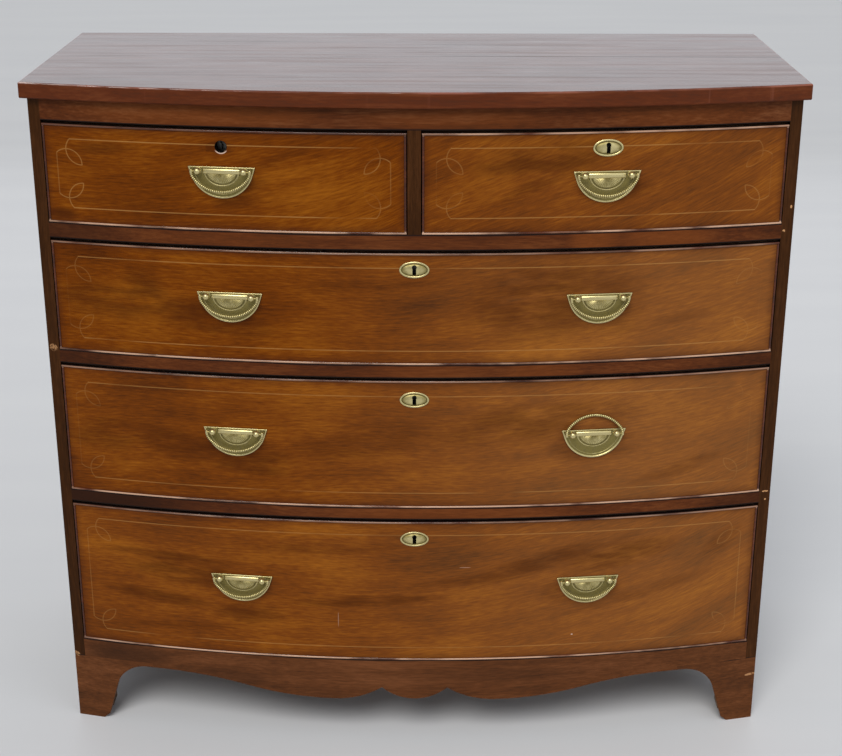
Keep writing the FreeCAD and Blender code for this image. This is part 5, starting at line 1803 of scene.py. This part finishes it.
@dataclass
class Studio:
    """The floor, the lights and the camera."""

    camera_place: Tuple[float, float, float] = (0.02384, -2.33546, 1.39400)
    pitch: float = 20.9405
    yaw: float = -0.3970
    roll: float = 0.0562
    focal_pixels: float = 1609.6
    width_pixels: float = 842.0
    sensor: float = 36.0

    def floor(self) -> None:
        """A wide level floor."""
        mesh = bmesh.new()
        bmesh.ops.create_grid(mesh, x_segments=1, y_segments=1, size=14.0)
        data = bpy.data.meshes.new("studio_floor")
        mesh.to_mesh(data)
        mesh.free()
        data.materials.append(PlainFloor().make())
        made = bpy.data.objects.new("studio_floor", data)
        bpy.context.scene.collection.objects.link(made)

    def hang(self, name: str, light: bpy.types.Light, place: Tuple[float, float, float],
             aim: Tuple[float, float, float], power: float, colour: Colour) -> bpy.types.Object:
        """Hang a light.

        Args:
            name: Its name.
            light: The light itself.
            place: Where it hangs.
            aim: The point it is turned to.
            power: Its power.
            colour: Its colour.

        Returns:
            The light's object.
        """
        light.energy = power
        light.color = colour
        made = bpy.data.objects.new(name, light)
        made.location = place
        made.visible_camera = False
        made.rotation_euler = (Vector(aim) - Vector(place)).to_track_quat("-Z", "Y").to_euler()
        bpy.context.scene.collection.objects.link(made)
        return made

    def panel(self, name: str, width: float, height: float) -> bpy.types.Light:
        """A soft oblong light, not hung yet."""
        light = bpy.data.lights.new(name, "AREA")
        light.shape = "RECTANGLE"
        light.size = width
        light.size_y = height
        return light

    def lights(self) -> None:
        """A broad sun, a wide panel at the right and a long one behind that the top reflects."""
        sun = bpy.data.lights.new("sun", "SUN")
        sun.angle = math.radians(30.0)
        self.hang("sun", sun, (-0.5, -2.0, 2.7), (0.0, 0.0, 0.3), 2.1, (1.0, 0.98, 0.95))
        side = self.panel("side_panel", 2.4, 2.4)
        self.hang("side_panel", side, (1.9, -1.7, 1.7), (0.1, 0.0, 0.5), 13.0, (0.95, 0.97, 1.0))
        back = self.panel("back_panel", 5.6, 2.2)
        self.hang("back_panel", back, (0.0, 3.3, 2.0), (0.0, 0.0, 1.1), 18.5, (0.93, 0.95, 1.0))

    def sky(self) -> None:
        """Even pale light from all round, and plain colour handling."""
        world = bpy.data.worlds.new("studio_sky")
        world.use_nodes = True
        back = world.node_tree.nodes["Background"]
        back.inputs["Color"].default_value = (0.86, 0.89, 0.94, 1.0)
        back.inputs["Strength"].default_value = 0.42
        bpy.context.scene.world = world
        bpy.context.scene.view_settings.view_transform = "Standard"

    def camera(self) -> None:
        """The camera, at standing height in front of the chest."""
        data = bpy.data.cameras.new("camera")
        data.sensor_width = self.sensor
        data.lens = self.focal_pixels / self.width_pixels * self.sensor
        data.clip_end = 60.0
        made = bpy.data.objects.new("camera", data)
        made.location = self.camera_place
        aim = Matrix.Rotation(-math.radians(self.yaw), 4, "Z")
        aim = aim @ Matrix.Rotation(math.radians(90.0 - self.pitch), 4, "X")
        aim = aim @ Matrix.Rotation(math.radians(self.roll), 4, "Z")
        made.rotation_euler = aim.to_euler()
        bpy.context.scene.collection.objects.link(made)
        bpy.context.scene.camera = made

    def build(self) -> None:
        """Set the studio up."""
        self.floor()
        self.sky()
        self.lights()
        self.camera()


# ---------------------------------------------------------------- the chest


WIDE_LEFT, WIDE_RIGHT = -0.507, 0.507
HALF_LEFT, HALF_RIGHT = 0.0105, 0.507
HALF_MIDDLE = (HALF_LEFT + HALF_RIGHT) / 2

TOP_LEFT = DrawerFront(
    "top_left_drawer", -HALF_RIGHT, -HALF_LEFT, 0.7978, 0.9365, key_z=0.914,
    lock_height=0.0385, handle_z=0.88175, handles=(-HALF_MIDDLE,),
)
TOP_RIGHT = DrawerFront(
    "top_right_drawer", HALF_LEFT, HALF_RIGHT, 0.7978, 0.9365, key_z=0.914,
    lock_height=0.0385, handle_z=0.87775, handles=(HALF_MIDDLE,),
)
UPPER = DrawerFront(
    "upper_drawer", WIDE_LEFT, WIDE_RIGHT, 0.6098, 0.7715, key_z=0.748,
    lock_height=0.0395, handle_z=0.70525,
)
MIDDLE = DrawerFront(
    "middle_drawer", WIDE_LEFT, WIDE_RIGHT, 0.3903, 0.5860, key_z=0.5575,
    lock_height=0.0445, handle_z=0.50275,
)
LOWER = DrawerFront(
    "lower_drawer", WIDE_LEFT, WIDE_RIGHT, 0.1388, 0.3675, key_z=0.340,
    lock_height=0.0435, handle_z=0.26775,
)

WOODS = (
    DrawerWood(
        TOP_LEFT,
        Stringing(-0.2600, 0.868, 0.2285, 0.048, level=0.6, upright=0.25, leaf=0.45),
        curl=1.4, curl_from=-0.36, seed=1.3,
        stains=(
            Patch(-0.250, 0.868, 0.13, 0.050, 0, 0.7),
            Patch(-0.165, 0.907, 0.20, 0.020, 24, 0.35),
            Patch(-0.25875, 0.913, 0.044, 0.018, 0, 0.9, True),
            Patch(-0.425, 0.905, 0.13, 0.022, 4, 0.55),
            Patch(-0.486, 0.811, 0.055, 0.022, 0, 0.9),
            Patch(-0.415, 0.831, 0.16, 0.016, -3, 0.4),
            Patch(-0.240, 0.838, 0.09, 0.030, 10, 0.6),
            Patch(-0.277, 0.908, 0.006, 0.0022, 0, 1.0, True),
            Patch(-0.2475, 0.908, 0.006, 0.0022, 0, 1.0, True),
        ),
        # painted light: the lit lower wall of the empty key bore
        pale_and_lit_spots=(Crescent(-0.25875, 0.914, 0.0088, 0.0013, 0.95),),
        fade_and_sheen_right=0.0, wear_and_highlight_high=0.1,
    ),
    DrawerWood(
        TOP_RIGHT,
        Stringing(0.2580, 0.868, 0.2285, 0.048, level=0.5, upright=0.08, leaf=0.28),
        slope=0.34, curl=0.4, curl_from=0.1, seed=4.9, fade_and_sheen_right=0.35, wear_and_highlight_high=0.7,
        stains=(
            Patch(0.180, 0.900, 0.26, 0.060, 5, 0.75),
            Patch(0.175, 0.872, 0.17, 0.028, 28, 0.5),
            Patch(0.330, 0.905, 0.15, 0.016, 26, 0.25),
            Patch(0.270, 0.862, 0.13, 0.050, 0, 0.6),
        ),
    ),
    DrawerWood(
        UPPER,
        Stringing(-0.002, 0.6900, 0.4865, 0.0600, level=0.5, upright=0.04, leaf=0.2),
        curl=0.5, curl_from=-0.1, seed=7.2, fade_and_sheen_right=0.9,
        stains=(
            Patch(-0.375, 0.705, 0.10, 0.075, -50, 0.75),
            Patch(-0.420, 0.690, 0.22, 0.070, 0, 0.7),
            Patch(-0.290, 0.676, 0.24, 0.060, -3, 0.85),
            Patch(-0.300, 0.664, 0.20, 0.030, -10, 0.7),
            Patch(-0.240, 0.655, 0.14, 0.030, 0, 0.5),
            Patch(-0.410, 0.668, 0.12, 0.018, 0, 0.35),
            Patch(0.190, 0.705, 0.32, 0.150, 6, 0.7),
            Patch(0.260, 0.680, 0.15, 0.060, 0, 0.5),
            Patch(0.340, 0.665, 0.22, 0.022, 9, 0.3),
            Patch(-0.060, 0.724, 0.24, 0.020, 4, 0.35),
        ),
    ),
    DrawerWood(
        MIDDLE,
        Stringing(-0.002, 0.4875, 0.4865, 0.0745, level=0.42, upright=0.08, leaf=0.2),
        curl=0.6, curl_from=-0.05, seed=11.6, fade_and_sheen=0.1, fade_and_sheen_right=1.0,
        stains=(
            Patch(-0.345, 0.478, 0.20, 0.060, -14, 0.75),
            Patch(-0.450, 0.478, 0.14, 0.050, 0, 0.6),
            Patch(-0.250, 0.470, 0.20, 0.056, -6, 0.85),
            Patch(-0.235, 0.448, 0.16, 0.034, -4, 0.7),
            Patch(-0.430, 0.500, 0.14, 0.030, 0, 0.45),
            Patch(-0.060, 0.495, 0.30, 0.070, 8, 0.45),
            Patch(0.170, 0.520, 0.36, 0.080, 6, 0.6),
            Patch(0.250, 0.485, 0.17, 0.070, 0, 0.6),
            Patch(0.385, 0.440, 0.18, 0.030, 16, 0.4),
        ),
    ),
    DrawerWood(
        LOWER,
        Stringing(-0.002, 0.2525, 0.4865, 0.0930, level=0.42, upright=0.28, leaf=0.26),
        curl=0.9, curl_from=-0.05, seed=15.1, fade_and_sheen=0.2, fade_and_sheen_right=0.7,
        stains=(
            Patch(-0.365, 0.294, 0.26, 0.022, -3, 0.75),
            Patch(-0.330, 0.268, 0.26, 0.050, -6, 0.75),
            Patch(-0.385, 0.226, 0.20, 0.030, -6, 0.75),
            Patch(-0.245, 0.208, 0.13, 0.046, 0, 0.75),
            Patch(-0.070, 0.237, 0.28, 0.024, 3, 0.7),
            Patch(-0.345, 0.180, 0.24, 0.018, 3, 0.45),
            Patch(0.190, 0.300, 0.34, 0.040, 16, 0.65),
            Patch(0.300, 0.305, 0.22, 0.050, 10, 0.75),
            Patch(0.245, 0.250, 0.15, 0.056, 0, 0.5),
            Patch(0.060, 0.268, 0.20, 0.026, 8, 0.5),
            Patch(0.330, 0.240, 0.26, 0.026, 14, 0.35),
            Patch(0.455, 0.315, 0.09, 0.040, 40, 0.4),
            Patch(-0.120, 0.322, 0.30, 0.024, 2, 0.4),
        ),
        pale_and_lit_spots=(
            Patch(-0.113, 0.205, 0.0014, 0.026, 0, 0.20, True),
            Patch(0.074, 0.293, 0.018, 0.0010, 0, 0.35, True),
            Patch(0.235, 0.176, 0.003, 0.002, 0, 0.9, True),
        ),
    ),
)

BRASSES = (
    DrawerBrass(TOP_LEFT, has_escutcheon=False),
    DrawerBrass(TOP_RIGHT),
    DrawerBrass(UPPER),
    DrawerBrass(MIDDLE, raised=(False, True)),
    DrawerBrass(LOWER),
)


def main() -> None:
    """Dress the whole chest and light it."""
    logging.basicConfig(level=logging.INFO, format="%(name)s: %(message)s")
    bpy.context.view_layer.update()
    CaseWood().build()
    deal = BoxWood("drawer_deal", Shades.DEAL_DARK, Shades.DEAL, Shades.DEAL_LIGHT,
                   streak=0.012, stretch=24.0, seed=12.0, roughness=0.62, coat=0.0).make()
    floor = Timber("drawer_floor", Shades.DEAL_DARK, Shades.DEAL, Shades.DEAL_LIGHT,
                   Grain.ACROSS, streak=0.015, stretch=24.0, seed=14.0, roughness=0.66,
                   coat=0.0).make()
    for wood in WOODS:
        wood.build(deal, floor)
    iron = OldIron("lock_iron").make()
    brass = AgedBrass("aged_brass").make()
    for brasses in BRASSES:
        brasses.build(brass)
        for node in ("lock", "lock_bolt"):
            dress(f"{brasses.front.drawer}_{node}", iron)
    for brasses in BRASSES:
        LockScrews(brasses.front).build(iron)
    BackNails().build(iron)
    Studio().build()


if __name__ == "__main__":
    main()
